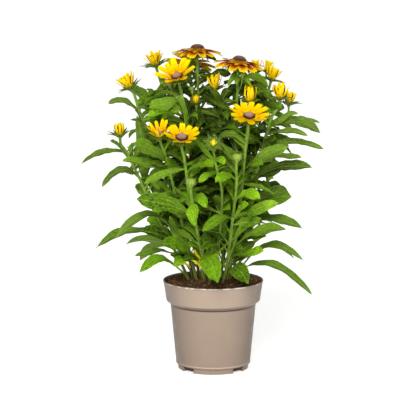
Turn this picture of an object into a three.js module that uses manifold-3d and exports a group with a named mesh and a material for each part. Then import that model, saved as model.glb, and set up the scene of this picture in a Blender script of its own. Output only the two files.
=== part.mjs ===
// A potted rudbeckia: a 17 cm nursery pot full of soil, with leafy stems, open and half-open blooms, and
// buds. Millimetres, +Z up, front towards -Y. The origin is the centre of the pot's base, on the surface it
// stands on.

import * as THREE from 'three';
import { mergeVertices } from 'three/addons/utils/BufferGeometryUtils.js';
import Module from 'manifold-3d';

const wasm = await Module();
wasm.setup();

// Driving dimensions
const gap = 0.35;
const potHeight = 152;
const rimRadius = 85;
const wall = 2.1;
const footRadius = 59.5;
const footHeight = 8;
const collarFoot = 114.5;
const shoulderRise = 4.5;
const shoulderRadius = 72.6;
const collarRadius = 79.6;
const floorThickness = 2.2;
const notchWidth = 24;
const notchHeight = 9.5;
const notchCount = 4;
const channelStart = 24;
const drainRadius = 5;
const drainPlace = 46;
const potSides = 24;
const soilEdge = 144.5;
const soilMound = 150;
const rootDepth = 30;
const stemSides = 5;
const stemStep = 50;
const plateThickness = 1.4;
const leafRib = 0.9;
const leafFold = 0.28;
const slimFold = 0.08;
const foldedWidth = 22;
const leafSpread = 1.38;
const leafBelly = 1.05;
const leafTurn = 26;
const stalkHalf = 1;
const footShare = 0.22;
const rayKeel = 0.8;
const bractKeel = 0.8;
const discSides = 12;
const discRings = 4;

// Finishes
const potPlastic = { color: 0xa8937f, roughness: 0.55, metalness: 0 };
const soilPeat = { color: 0x35271a, roughness: 1, metalness: 0 };
const leafGreen = { color: 0x5d8023, roughness: 0.75, metalness: 0 };
const rayYellow = { color: 0xfcd402, roughness: 0.6, metalness: 0 };
const discBrown = { color: 0x4a3220, roughness: 0.85, metalness: 0 };

// Blooms: at is the top of the green receptacle, axis the way the bloom faces. open holds how far a ray
// rises from the bloom's own plane at its foot and at its tip, in degrees; disc is radius and height, 0 where
// the rays hide it; bracts are count, length, and their rise at foot and tip.
const blooms = {
  top_centre: {
    at: [-26.5, 12, 538.5], axis: [0.02, -0.06, 1], rays: 14, length: 31.5, width: 15, open: [0, -26],
    disc: [11.5, 9], bracts: [8, 20, -25, -55],
  },
  top_right: {
    at: [42.5, -34, 522], axis: [0.13, -0.12, 0.98], rays: 14, length: 32, width: 15, open: [0, -30],
    disc: [11.5, 9.5], bracts: [8, 22, -25, -65],
  },
  cupped: {
    at: [-59, -47, 499], axis: [-0.22, -0.5, 0.84], rays: 12, length: 27.5, width: 14, open: [42, 26],
    disc: [8, 5], bracts: [7, 17, 20, -10],
  },
  upper_left: {
    at: [-97, 30, 514], axis: [-0.25, -0.1, 0.96], rays: 11, length: 23, width: 8, open: [54, 62],
    disc: [0, 0], bracts: [8, 23, 20, 0],
  },
  far_left: {
    at: [-139, 0, 479], axis: [-0.45, -0.1, 0.88], rays: 11, length: 24, width: 8, open: [56, 62],
    disc: [0, 0], bracts: [7, 22, 20, 5],
  },
  left_bud: {
    at: [-155, -40, 403], axis: [-0.1, -0.1, 0.98], rays: 9, length: 21, width: 6.5, open: [62, 108],
    disc: [0, 0], bracts: [7, 20, 30, 20],
  },
  mid_left: {
    at: [-88, -74, 407], axis: [-0.1, -0.42, 0.9], rays: 10, length: 22, width: 8, open: [56, 50],
    disc: [6, 4], bracts: [7, 15, 15, -5],
  },
  mid_front: {
    at: [-51.5, -107, 405], axis: [0.03, -0.48, 0.88], rays: 12, length: 22, width: 9.5, open: [38, 24],
    disc: [9, 5], bracts: [8, 15, 0, -20],
  },
  mid_right: {
    at: [58, -87, 438], axis: [0.05, -0.47, 0.88], rays: 13, length: 25, width: 11, open: [28, 12],
    disc: [8.5, 5], bracts: [8, 16, -10, -30],
  },
  small_right: {
    at: [60, -40, 460], axis: [0, -0.2, 0.98], rays: 10, length: 26, width: 7.5, open: [56, 112],
    disc: [0, 0], bracts: [7, 15, 25, 5],
  },
  centre: {
    at: [3, -8, 478], axis: [-0.08, -0.1, 0.99], rays: 10, length: 23, width: 7.5, open: [60, 80],
    disc: [0, 0], bracts: [7, 19, 20, 5],
  },
  curled: {
    at: [-29, -20, 455], axis: [-0.1, -0.3, 0.95], rays: 8, length: 13, width: 5, open: [60, 118],
    disc: [0, 0], bracts: [7, 11, 40, 20],
  },
  star: {
    at: [0, -108, 396], axis: [0, -0.75, 0.66], rays: 8, length: 11, width: 5, open: [58, 112],
    disc: [0, 0], bracts: [9, 17, 25, 5],
  },
  back_pair_left: {
    at: [73.5, 60, 501], axis: [-0.1, 0.05, 0.99], rays: 8, length: 19, width: 6, open: [72, 76],
    disc: [0, 0], bracts: [6, 12, 20, 0],
  },
  back_pair_right: {
    at: [92, 64, 501], axis: [0.2, 0.1, 0.97], rays: 8, length: 18, width: 6, open: [72, 70],
    disc: [0, 0], bracts: [6, 12, 20, 0],
  },
  right_tall: {
    at: [98.5, 34, 490], axis: [0.25, 0, 0.97], rays: 11, length: 21, width: 7.5, open: [54, 76],
    disc: [0, 0], bracts: [8, 23, 10, -10],
  },
  far_right: {
    at: [111, -16, 463], axis: [0.03, -0.1, 0.99], rays: 11, length: 24, width: 7.5, open: [56, 80],
    disc: [0, 0], bracts: [7, 18, 15, -5],
  },
  right_edge: {
    at: [128, 30, 449], axis: [0.1, 0.05, 0.99], rays: 9, length: 21, width: 7, open: [62, 82],
    disc: [0, 0], bracts: [7, 21, 20, 5],
  },
  behind_top: {
    at: [-38, 78, 513], axis: [0.08, 0.5, 0.86], rays: 11, length: 34, width: 14, open: [2, -16],
    disc: [9, 10], bracts: [8, 17, -25, -50],
  },
  back_left: {
    at: [-66, 122, 322], axis: [-0.25, 0.62, 0.74], rays: 10, length: 30, width: 13, open: [18, 0],
    disc: [8.5, 8], bracts: [7, 16, -10, -30],
  },
  back_middle: {
    at: [-4, 142, 352], axis: [-0.05, 0.62, 0.78], rays: 10, length: 33, width: 13, open: [16, -6],
    disc: [9, 10], bracts: [7, 16, -15, -35],
  },
  back_right: {
    at: [64, 124, 338], axis: [0.2, 0.5, 0.84], rays: 10, length: 33, width: 13, open: [12, -10],
    disc: [9, 11], bracts: [7, 16, -15, -35],
  },
};

// Green buds, each a ball of closed bracts: at is its foot
const buds = {
  front_bud: { at: [-36.5, -119, 331], axis: [0, -0.35, 0.94], radius: 6.5 },
  right_bud: { at: [38, -109, 371], axis: [0.05, -0.3, 0.95], radius: 6 },
  side_bud: { at: [-73, -34, 486], axis: [-0.4, 0.1, 0.9], radius: 4 },
  low_bud: { at: [96, 104, 310], axis: [0.3, 0.3, 0.9], radius: 6 },
};

// Stems: root is where one leaves the soil, through the places it passes on its way up
const stems = {
  top_centre: {
    radius: 2.3, root: [-9, 12], through: [[-18, 10, 330], [-25.5, 12, 473]], head: 'top_centre',
  },
  top_right: { radius: 2.3, root: [13, 9], through: [[27, -6, 300], [38.5, -22, 431]], head: 'top_right' },
  cupped: {
    radius: 2.4, root: [-18, -8], through: [[-29, -22, 270], [-38.8, -34, 375], [-47, -40, 444]],
    head: 'cupped',
  },
  upper_left: {
    radius: 2.5, root: [-24, 17], through: [[-48, 22, 317], [-73.7, 28, 436]], head: 'upper_left',
  },
  far_left: {
    radius: 2.5, root: [-34, 4], through: [[-64.6, 4, 286], [-106.8, 2, 396], [-123.7, 0, 439]],
    head: 'far_left',
  },
  left_bud: {
    radius: 2.5, root: [-42, -12], through: [[-89, -28, 256], [-140.5, -38, 367]], head: 'left_bud',
  },
  mid_left: {
    radius: 2.3, root: [-28, -18], through: [[-55, -52, 270], [-75, -65, 360]], head: 'mid_left',
  },
  mid_front: {
    radius: 2.4, root: [-14, -26], through: [[-38.2, -78, 298], [-46.2, -92, 364]], head: 'mid_front',
  },
  mid_right: {
    radius: 2.5, root: [22, -15], through: [[44.4, -60, 295], [53.9, -75, 398]], head: 'mid_right',
  },
  centre: {
    radius: 2.5, root: [4, -7], through: [[13, -14, 290], [14.7, -13, 374], [9.7, -9, 450]], head: 'centre',
  },
  star: { radius: 2, root: [3, -24], through: [[14.5, -76, 298], [5, -92, 356]], head: 'star' },
  front_bud: {
    radius: 2.4, root: [-5, -37], through: [[-16.9, -66, 201], [-28.2, -94, 259], [-34.6, -110, 303]],
    head: 'front_bud',
  },
  right_bud: {
    radius: 2.2, root: [16, -36], through: [[21.3, -44, 178], [31, -76, 261], [37.4, -97, 320]],
    head: 'right_bud',
  },
  back_pair: {
    radius: 2.4, root: [24, 30], through: [[50, 38, 300], [66, 50, 400], [72, 58, 468]],
    head: 'back_pair_left',
  },
  right_tall: { radius: 2.4, root: [34, 16], through: [[60, 22, 320], [80, 32, 420]], head: 'right_tall' },
  far_right: {
    radius: 3, root: [28, -1], through: [[36.7, -8, 236], [61.9, -14, 305], [85.5, -16, 390], [99, -17, 434]],
    head: 'far_right',
  },
  behind_top: { radius: 2.4, root: [-14, 31], through: [[-24, 42, 300], [-34, 56, 400]], head: 'behind_top' },
  back_left: { radius: 2.4, root: [-36, 29], through: [[-48, 56, 220], [-60, 94, 280]], head: 'back_left' },
  back_middle: {
    radius: 2.4, root: [-2, 46], through: [[-3, 74, 230], [-4, 108, 300]], head: 'back_middle',
  },
  back_right: { radius: 2.4, root: [14, 42], through: [[28, 70, 225], [48, 98, 288]], head: 'back_right' },
  side_right: { radius: 2.4, root: [42, 32], through: [[58, 52, 215], [80, 84, 262]], head: 'low_bud' },
};

// Branches leave a stem at a height and end in a bloom or a bud of their own
const branches = [
  { stem: 'top_centre', from: 398, radius: 1.7, through: [[-27, -15, 428]], head: 'curled' },
  { stem: 'mid_right', from: 372, radius: 1.8, through: [[58, -56, 412]], head: 'small_right' },
  { stem: 'back_pair', from: 425, radius: 1.7, through: [[86, 62, 462]], head: 'back_pair_right' },
  { stem: 'far_right', from: 420, radius: 1.8, through: [[113, 16, 428]], head: 'right_edge' },
  { stem: 'cupped', from: 446, radius: 1.4, through: [[-62, -42, 466]], head: 'side_bud' },
];

// Leaves: stem, height of the foot, tip, width, arch above the straight line, roll in degrees, share that is
// stalk
const leaves = [
  ['front_bud', 207, [6, -134, 173], 27, 13, 0, 0.14],
  ['front_bud', 276, [-125, -126, 309], 24, 6, 20, 0.1],
  ['mid_right', 337, [120, -110, 393], 20, 6, 25, 0.06],
  ['far_right', 262, [129, -68, 305], 34, 8, 20, 0.26],
  ['mid_left', 362, [-129, -108, 395], 24, 6, 25, 0.06],
  ['mid_left', 344, [-149, -80, 366], 17, 5, 10, 0.08],
  ['mid_left', 194, [-118, -100, 253], 26, 10, 20, 0.2],
  ['mid_left', 211, [-160, -112, 243], 14, 47, 0, 0.2],
  ['mid_front', 192, [-84, -110, 232], 21, 10, 10, 0.2],
  ['left_bud', 228, [-195, -60, 217], 15, 21, 0, 0.12],
  ['left_bud', 158, [-122, -90, 181], 14, 26, 15, 0.3],
  ['mid_left', 186, [-66, -92, 192], 14, 8, 0, 0.25],
  ['mid_right', 172, [56, -102, 165], 22, 14, 0, 0.22],
  ['far_right', 168, [150, -60, 196], 14, 32, 0, 0.2],
  ['far_right', 160, [165, -40, 135], 15, 34, 0, 0.22],
  ['far_right', 182, [84, -58, 212], 16, 5, 20, 0.3],
  ['far_right', 176, [57, -30, 207], 12, 4, 30, 0.2],
  ['mid_right', 214, [116, -90, 253], 18, 12, 15, 0.18],
  ['far_right', 248, [148, -58, 249], 17, 15, 0, 0.16],
  ['mid_right', 256, [108, -80, 295], 14, 9, 55, 0.08],
  ['mid_right', 238, [64, -66, 273], 22, 6, 30, 0.14],
  ['right_bud', 303, [76, -120, 308], 17, 8, 10, 0.08],
  ['right_bud', 268, [57, -110, 297], 17, 4, 15, 0.08],
  ['right_bud', 270, [-18, -130, 257], 14, 8, 0, 0.08],
  ['star', 222, [-21, -120, 226], 22, 10, 0, 0.2],
  ['centre', 246, [1, -62, 304], 34, 4, 0, 0.16],
  ['front_bud', 298, [-31, -134, 266], 17, 7, 0, 0.1],
  ['mid_front', 303, [-10, -112, 293], 15, 8, 0, 0.08],
  ['mid_front', 306, [-85, -112, 311], 10, -9, 0, 0.06],
  ['mid_front', 353, [-113, -122, 333], 10, 6, 20, 0.05],
  ['right_bud', 338, [3, -126, 336], 15, 8, 0, 0.06],
  ['star', 348, [-24, -113, 334], 10, 4, 0, 0.05],
  ['star', 372, [19, -116, 365], 10, 3, 0, 0.05],
  ['right_bud', 358, [14, -96, 394], 12, 3, 0, 0.05],
  ['centre', 376, [-42, -60, 393], 13, 5, 15, 0.05],
  ['centre', 436, [39, -50, 378], 13, 10, 0, 0.05],
  ['centre', 440, [0, -54, 484], 19, 3, 0, 0.05],
  ['centre', 450, [50, -32, 488], 10, 3, 0, 0.05],
  ['cupped', 414, [-57, -66, 472], 12, 3, 0, 0.05],
  ['cupped', 430, [-27, -56, 436], 8, 4, 0, 0.05],
  ['top_centre', 300, [-52, 34, 330], 18, 8, 0, 0.08],
  ['left_bud', 362, [-170, -52, 396], 13, 3, 0, 0.05],
  ['left_bud', 374, [-218, -50, 357], 12, 10, 0, 0.05],
  ['left_bud', 332, [-184, -60, 320], 13, 20, 10, 0.05],
  ['left_bud', 336, [-106, -10, 290], 15, 4, 0, 0.05],
  ['left_bud', 232, [-112, -4, 256], 17, 5, 10, 0.1],
  ['left_bud', 200, [-131, -62, 203], 11, 6, 0, 0.2],
  ['mid_front', 214, [-40, -92, 224], 12, 6, 0, 0.2],
  ['upper_left', 430, [-152, 46, 474], 22, 5, 15, 0.05],
  ['upper_left', 424, [-125, -30, 450], 17, 4, 10, 0.05],
  ['upper_left', 445, [-114, 62, 470], 13, 4, 0, 0.05],
  ['far_left', 438, [-175, -10, 453], 13, 10, 0, 0.05],
  ['far_left', 388, [-132, 36, 438], 13, 3, 0, 0.05],
  ['far_left', 340, [-120, 44, 352], 18, 8, 0, 0.06],
  ['left_bud', 300, [-128, 14, 430], 15, 6, 0, 0.06],
  ['far_left', 320, [-138, -20, 388], 17, 8, 20, 0.06],
  ['far_right', 446, [67, -12, 484], 13, 4, 0, 0.05],
  ['far_right', 444, [78, 12, 479], 10, 3, 0, 0.05],
  ['far_right', 424, [180, 12, 418], 7, 7, 0, 0.05],
  ['far_right', 418, [179, -30, 405], 18, 12, 0, 0.2],
  ['far_right', 402, [157, -36, 402], 10, 6, 0, 0.05],
  ['far_right', 374, [105, -42, 399], 16, 4, 0, 0.05],
  ['far_right', 378, [185, -8, 376], 11, 11, 10, 0.08],
  ['far_right', 352, [146, -62, 368], 12, 7, 0, 0.1],
  ['far_right', 326, [164, -52, 350], 17, 12, 25, 0.08],
  ['far_right', 318, [102, 14, 301], 17, 6, 0, 0.05],
  ['right_tall', 385, [65, 4, 418], 16, 4, 0, 0.05],
  ['right_tall', 330, [104, 62, 352], 20, 10, 0, 0.06],
  ['back_pair', 385, [100, 84, 410], 16, 6, 0, 0.05],
  ['back_left', 160, [-128, 96, 168], 20, 34, 0, 0.3],
  ['back_middle', 160, [-30, 158, 172], 22, 34, 0, 0.3],
  ['back_right', 160, [60, 150, 162], 20, 34, 0, 0.3],
  ['side_right', 160, [140, 92, 172], 20, 32, 0, 0.3],
  ['upper_left', 170, [-150, 40, 205], 18, 26, 0, 0.25],
];

// Stems at the back that carry the same leaves in a spiral, thinning out upwards
const spiralStems = {
  back_left: { from: 205, to: 290, first: 150 },
  back_middle: { from: 200, to: 310, first: 60 },
  back_right: { from: 195, to: 300, first: 120 },
  side_right: { from: 190, to: 280, first: 20 },
  behind_top: { from: 225, to: 450, first: 100 },
};
const spiralStep = 44;
const spiralTurn = 137.5;
const spiralReach = 88;
const spiralShrink = 0.13;

// Leaves inside the clump, up each other stem, pointing away from the pot's axis within innerSwing. clump is
// how far from that axis a tip may reach, at each height.
const innerStart = 172;
const innerSwing = 80;
const innerStep = 78;
const innerBelowHead = 48;
const innerReach = 84;
const innerShortest = 36;
const innerWidth = 0.28;
const clump = [[150, 48], [200, 84], [250, 104], [330, 128], [400, 134], [460, 126], [500, 80]];

// A leaf that would cross a neighbour tries these in turn: degrees round, degrees up, share of its reach
const bends = [
  [0, 0, 1], [6, 0, 1], [-6, 0, 1], [0, 6, 1], [0, -6, 1], [10, 6, 1], [-10, 6, 1], [10, -6, 1],
  [-10, -6, 1], [0, 12, 1], [0, -12, 1], [16, 0, 1], [-16, 0, 1], [16, 10, 0.95], [-16, 10, 0.95],
  [16, -10, 0.95], [-16, -10, 0.95], [24, 4, 0.92], [-24, 4, 0.92], [0, 20, 0.92], [0, -20, 0.92],
  [24, 16, 0.88], [-24, 16, 0.88], [34, 6, 0.85], [-34, 6, 0.85], [34, -12, 0.8], [-34, -12, 0.8],
  [46, 12, 0.8], [-46, 12, 0.8], [0, 34, 0.8],
];

const up = new THREE.Vector3(0, 0, 1);
const radians = THREE.MathUtils.degToRad;

let seed = 1;

// A repeatable number from 0 to 1
function draw() {
  seed = (seed * 1664525 + 1013904223) % 4294967296;
  return seed / 4294967296;
}

function vector(place) {
  return new THREE.Vector3(...place);
}

// A closed solid from a three.js geometry, with its faces turned outwards
function toSolid(geometry) {
  const bare = geometry.clone();
  bare.deleteAttribute('normal');
  bare.deleteAttribute('uv');
  const merged = mergeVertices(bare, 1e-4);
  const places = merged.attributes.position;
  const corners = merged.index.array;
  const triangles = [];
  let volume = 0;
  for (let i = 0; i < corners.length; i += 3) {
    const [a, b, c] = corners.slice(i, i + 3);
    if (a === b || b === c || c === a) continue;
    triangles.push(a, b, c);
    const [p, q, r] = [a, b, c].map((k) => new THREE.Vector3().fromBufferAttribute(places, k));
    volume += p.dot(q.cross(r));
  }
  if (volume < 0) triangles.reverse();
  return new wasm.Manifold(new wasm.Mesh({
    numProp: 3,
    vertProperties: new Float32Array(places.array),
    triVerts: new Uint32Array(triangles),
  }));
}

function fuse(solids) {
  return solids.reduce((whole, solid) => whole.add(solid));
}

function toMesh(name, solid, finish) {
  const { vertProperties, triVerts } = solid.getMesh();
  const geometry = new THREE.BufferGeometry();
  geometry.setAttribute('position', new THREE.BufferAttribute(vertProperties, 3));
  geometry.setIndex(new THREE.BufferAttribute(triVerts, 1));
  geometry.computeVertexNormals();
  const mesh = new THREE.Mesh(geometry, new THREE.MeshStandardMaterial(finish));
  mesh.name = name;
  return mesh;
}

function turned(profile, sides) {
  const outline = profile.map(([r, z]) => new THREE.Vector2(r, z));
  return new THREE.LatheGeometry(outline, sides).rotateX(Math.PI / 2);
}

// Thin blades. A section is left edge, upper rib, right edge and lower rib, and both faces are split alike.
function addPoint(shell, point) {
  shell.places.push(point.x, point.y, point.z);
  return shell.places.length / 3 - 1;
}

function addSpan(shell, section, next) {
  const [left, over, right, under] = section;
  const [left2, over2, right2, under2] = next;
  shell.corners.push(left, over2, left2, left, over, over2);
  shell.corners.push(right, right2, over2, right, over2, over);
  shell.corners.push(left, left2, under2, left, under2, under);
  shell.corners.push(right, under2, right2, right, under, under2);
}

function addTip(shell, section, tip) {
  const [left, over, right, under] = section;
  shell.corners.push(left, over, tip, over, right, tip, right, under, tip, under, left, tip);
}

function addFlatEnd(shell, section) {
  const [left, over, right, under] = section;
  shell.corners.push(left, over, under, over, right, under);
}

// A slimmer blade has a section of left edge, right edge and keel
function addSlimSpan(shell, [left, right, keel], [left2, right2, keel2]) {
  shell.corners.push(left, right, right2, left, right2, left2);
  shell.corners.push(left, left2, keel2, left, keel2, keel, right, keel, keel2, right, keel2, right2);
}

function addSlimTip(shell, [left, right, keel], tip) {
  shell.corners.push(left, right, tip, right, keel, tip, keel, left, tip);
}

function shellGeometry(shell) {
  const geometry = new THREE.BufferGeometry();
  geometry.setAttribute('position', new THREE.Float32BufferAttribute(shell.places, 3));
  geometry.setIndex(shell.corners);
  return geometry;
}

// Pot
function potProfile() {
  return [
    [0, 0], [footRadius, 0], [footRadius + 0.8, footHeight], [footRadius + 3.9, footHeight + 1.5],
    [shoulderRadius, collarFoot], [collarRadius, collarFoot + shoulderRise],
    [rimRadius - 0.8, potHeight - 3.5], [rimRadius, potHeight - 3], [rimRadius, potHeight],
    [rimRadius - wall - 0.3, potHeight],
    [collarRadius - wall, collarFoot + shoulderRise + 1.8], [shoulderRadius - wall, collarFoot + 1.8],
    [footRadius + 1.8, footHeight + 3], [footRadius - 1.2, floorThickness], [0, floorThickness],
  ];
}

// The notches in the foot run inwards as raised channels, each with a drain hole in its roof
function channelBox(width, height, start, end) {
  const box = new THREE.BoxGeometry(end - start, width, height);
  return box.translate((start + end) / 2, 0, height / 2);
}

function atNotches(geometry) {
  const solids = [];
  for (let i = 0; i < notchCount; i += 1) {
    solids.push(toSolid(geometry.clone().rotateZ(((i + 0.5) / notchCount) * 2 * Math.PI)));
  }
  return fuse(solids);
}

function makePot() {
  const shell = toSolid(turned(potProfile(), potSides));
  const hood = channelBox(notchWidth + 2 * wall, notchHeight + wall, channelStart - wall, footRadius - 0.5);
  const channel = channelBox(notchWidth, notchHeight + 1, channelStart, rimRadius).translate(0, 0, -1);
  const hole = new THREE.CylinderGeometry(drainRadius, drainRadius, 3 * notchHeight, 6).rotateX(Math.PI / 2);
  hole.translate(drainPlace, 0, notchHeight);
  return shell.add(atNotches(hood)).subtract(atNotches(channel)).subtract(atNotches(hole));
}

// Soil
function makeSoil(roots) {
  const slack = gap + 0.15;
  const profile = [
    [0, floorThickness + gap], [footRadius - 1.4 - slack, floorThickness + gap],
    [footRadius + 1.6 - slack, footHeight + 3], [shoulderRadius - wall - 0.2 - slack, collarFoot + 2.2],
    [collarRadius - wall - slack, collarFoot + shoulderRise + 2.4],
    [rimRadius - wall - 1.2 - slack, soilEdge], [0.8 * rimRadius, soilMound - 1.5],
    [0.6 * rimRadius, soilMound], [0, soilMound],
  ];
  const rows = profile.length;
  const geometry = turned(profile, potSides);
  const places = geometry.attributes.position;
  seed = 40;
  const lifts = Array.from({ length: potSides }, () => 2.4 * (draw() - 0.5));
  for (let i = 0; i <= potSides; i += 1) {
    const k = i * rows + rows - 3;
    places.setZ(k, places.getZ(k) + lifts[i % potSides]);
  }
  const [width, height] = [notchWidth + 2 * wall + 1.2, notchHeight + wall + 0.6];
  const hood = channelBox(width, height, channelStart - wall - 0.6, rimRadius);
  return toSolid(geometry).subtract(atNotches(hood)).subtract(fuse(roots));
}

// Stems
function tubeSolid(curve, radius, steps) {
  const outline = new THREE.Shape();
  for (let i = 0; i < stemSides; i += 1) {
    const angle = (i / stemSides) * 2 * Math.PI;
    const [x, y] = [radius * Math.cos(angle), radius * Math.sin(angle)];
    if (i === 0) outline.moveTo(x, y);
    else outline.lineTo(x, y);
  }
  outline.closePath();
  return toSolid(new THREE.ExtrudeGeometry(outline, { steps, extrudePath: curve, bevelEnabled: false }));
}

function stemCurve(stem) {
  const head = blooms[stem.head] || buds[stem.head];
  const axis = vector(head.axis).normalize();
  const below = [16, 2.5].map((reach) => vector(head.at).addScaledVector(axis, -reach));
  const points = stem.through.map(vector);
  if (stem.root) {
    const [x, y] = stem.root;
    points.unshift(new THREE.Vector3(x, y, soilMound - rootDepth), new THREE.Vector3(x, y, soilMound + 4));
  }
  if (stem.start) points.unshift(stem.start);
  return new THREE.CatmullRomCurve3([...points, ...below], false, 'catmullrom', 0.5);
}

function pointAtHeight(curve, height) {
  let [low, high] = [0, 1];
  for (let i = 0; i < 40; i += 1) {
    const middle = (low + high) / 2;
    if (curve.getPoint(middle).z < height) low = middle;
    else high = middle;
  }
  return curve.getPoint(low);
}

function stepsAlong(curve) {
  return Math.max(3, Math.round(curve.getLength() / stemStep));
}

// A straight hole for the buried end of a stem, wider than it all round and a little deeper
function rootHole(curve, stem) {
  const wide = (stem.radius + gap + 0.15) / Math.cos(Math.PI / stemSides);
  const [foot, joint] = curve.getSpacedPoints(stepsAlong(curve));
  const way = joint.clone().sub(foot).normalize();
  const line = new THREE.LineCurve3(foot.addScaledVector(way, -2 * gap), joint);
  return tubeSolid(line, wide, 1);
}

// Leaves
function leafHalfWidth(leaf, t) {
  const blade = Math.max(0, (t - leaf.stalk) / (1 - leaf.stalk));
  return stalkHalf + (leaf.width / 2 - stalkHalf) * Math.sin(Math.PI * blade ** leafBelly) ** 0.8;
}

function edgeWave(leaf, t, side) {
  return 0.055 * leaf.width * t * Math.sin(10.5 * t + 1.4 * side + leaf.width);
}

function leafStations(leaf) {
  if (leaf.width > 27) return [0, 0.2, 0.38, 0.6, 0.82];
  if (leaf.width > foldedWidth) return [0, 0.26, 0.54, 0.82];
  return [0, 0.38, 0.76];
}

// A leaf folded a little along its rib, or a slim flat one where it is narrow. extra fattens it, and from
// leaves its foot out, for the test of what it meets.
function leafSolid(leaf, extra, from) {
  const middle = leaf.base.clone().add(leaf.tip).multiplyScalar(0.5);
  middle.z += 2 * leaf.arch;
  const curve = new THREE.QuadraticBezierCurve3(leaf.base, middle, leaf.tip);
  const level = new THREE.Vector3(leaf.base.y - leaf.tip.y, leaf.tip.x - leaf.base.x, 0).normalize();
  const stations = [from, ...leafStations(leaf).filter((t) => t > from)];
  const folded = leaf.width > foldedWidth;
  const fold = folded ? leafFold : slimFold;
  const shell = { places: [], corners: [] };
  const sections = stations.map((t) => {
    const place = curve.getPoint(t);
    const along = curve.getTangent(t);
    const across = level.clone().applyAxisAngle(along, radians(leaf.roll));
    const normal = along.clone().cross(across);
    const half = leafHalfWidth(leaf, t) + extra;
    const edge = (side) => place.clone().addScaledVector(across, side * half * Math.cos(fold))
      .addScaledVector(normal, half * Math.sin(fold) + extra * (folded ? 0 : 1) + edgeWave(leaf, t, side));
    const rib = (side) => place.clone().addScaledVector(normal, side * (leafRib + extra));
    const corners = folded ? [edge(1), rib(1), edge(-1), rib(-1)] : [edge(1), edge(-1), rib(-1.3)];
    return corners.map((point) => addPoint(shell, point));
  });
  const tip = addPoint(shell, leaf.tip.clone().addScaledVector(curve.getTangent(1), extra));
  if (folded) {
    addFlatEnd(shell, [...sections[0]].reverse());
    sections.slice(1).forEach((section, i) => addSpan(shell, sections[i], section));
    addTip(shell, sections.at(-1), tip);
  } else {
    shell.corners.push(...[...sections[0]].reverse());
    sections.slice(1).forEach((section, i) => addSlimSpan(shell, sections[i], section));
    addSlimTip(shell, sections.at(-1), tip);
  }
  return toSolid(shellGeometry(shell));
}

function bentTip(base, tip, [turn, lift, reach]) {
  const way = tip.clone().sub(base).multiplyScalar(reach).applyAxisAngle(up, radians(turn));
  const level = new THREE.Vector3(-way.y, way.x, 0).normalize();
  return way.applyAxisAngle(level, -radians(lift)).add(base);
}

// Blooms
function headFrame(head) {
  const turn = new THREE.Quaternion().setFromUnitVectors(up, vector(head.axis).normalize());
  return new THREE.Matrix4().compose(vector(head.at), turn, new THREE.Vector3(1, 1, 1));
}

function plateRadius(bloom) {
  if (bloom.disc[0]) return 1.07 * bloom.disc[0] + 0.8;
  return 1.5 + 0.13 * bloom.length;
}

function polar(radius, angle, side, height) {
  const [x, y] = [Math.cos(angle), Math.sin(angle)];
  return new THREE.Vector3(radius * x - side * y, radius * y + side * x, height);
}

// One blade of a head: it leaves the rim with one slope and turns to another at its tip. A section is left
// edge, right edge and keel, hollow lifts the edges above the keel by that share of the half width, and the
// blade keeps inside its own sector, so none cross.
function addPetal(shell, foot, angle, head, petal) {
  const [first, last] = [radians(petal.rise), radians(petal.end)];
  const sector = Math.PI / head.petals.length;
  const spot = (slope) => [
    head.radius + (petal.length * (Math.sin(slope) - Math.sin(first))) / (last - first),
    head.rim - (petal.length * (Math.cos(slope) - Math.cos(first))) / (last - first),
  ];
  let section = foot;
  for (const t of head.stations) {
    const slope = first + (last - first) * t;
    const [out, over] = spot(slope);
    const wide = (petal.width / 2) * head.shape(t);
    const lift = head.hollow * wide;
    const edgeOut = Math.max(0.5, out - lift * Math.sin(slope));
    const half = Math.min(wide, 0.93 * edgeOut * Math.tan(sector));
    const next = [
      polar(edgeOut, angle, half, over + lift * Math.cos(slope)),
      polar(edgeOut, angle, -half, over + lift * Math.cos(slope)),
      polar(out + head.keel * Math.sin(slope), angle, 0, over - head.keel * Math.cos(slope)),
    ].map((point) => addPoint(shell, point));
    addSlimSpan(shell, section, next);
    section = next;
  }
  if (head.blunt) {
    shell.corners.push(...section);
    return;
  }
  const [out, over] = spot(last);
  addSlimTip(shell, section, addPoint(shell, polar(out, angle, 0, over)));
}

// A ring of blades round one lens-shaped middle
function headGeometry(head) {
  const shell = { places: [], corners: [] };
  const count = head.petals.length;
  const sector = Math.PI / count;
  const over = addPoint(shell, new THREE.Vector3(0, 0, head.top));
  const under = addPoint(shell, new THREE.Vector3(0, 0, head.bottom));
  const joints = head.petals.map((petal, i) => {
    return addPoint(shell, polar(head.radius, (2 * i - 1) * sector, 0, head.rim));
  });
  head.petals.forEach((petal, i) => {
    const angle = 2 * i * sector;
    const [left, right] = [joints[(i + 1) % count], joints[i]];
    const keel = addPoint(shell, polar(head.radius, angle, 0, head.rim - head.keel));
    shell.corners.push(over, right, left, under, keel, right, under, left, keel);
    addPetal(shell, [left, right, keel], angle, head, petal);
  });
  return shellGeometry(shell);
}

function makePetals(count, makeOne) {
  return Array.from({ length: count }, (_, i) => makeOne(i));
}

function rayShape(t) {
  return Math.sin(Math.PI * (0.08 + 0.8 * t));
}

function bractShape(t) {
  return 1 - 0.7 * t;
}

function raySolid(bloom, index) {
  const [rise, end] = bloom.open;
  const closed = rise > 40;
  seed = 700 + index;
  const head = {
    radius: plateRadius(bloom),
    rim: gap + plateThickness / 2,
    top: gap + plateThickness,
    bottom: gap,
    keel: rayKeel,
    blunt: true,
    hollow: closed ? 0.3 : 0.16,
    stations: [0.52, 1],
    shape: rayShape,
    petals: makePetals(bloom.rays, (i) => {
      const layer = (i % 2 ? 1 : -1) * (closed ? 5 : 2);
      return {
        length: bloom.length * (0.9 + 0.2 * draw()),
        width: bloom.width * (0.9 + 0.2 * draw()),
        rise: rise + layer,
        end: end + layer + 0.5 + 14 * (draw() - 0.5),
      };
    }),
  };
  return toSolid(headGeometry(head).applyMatrix4(headFrame(bloom)));
}

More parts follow.
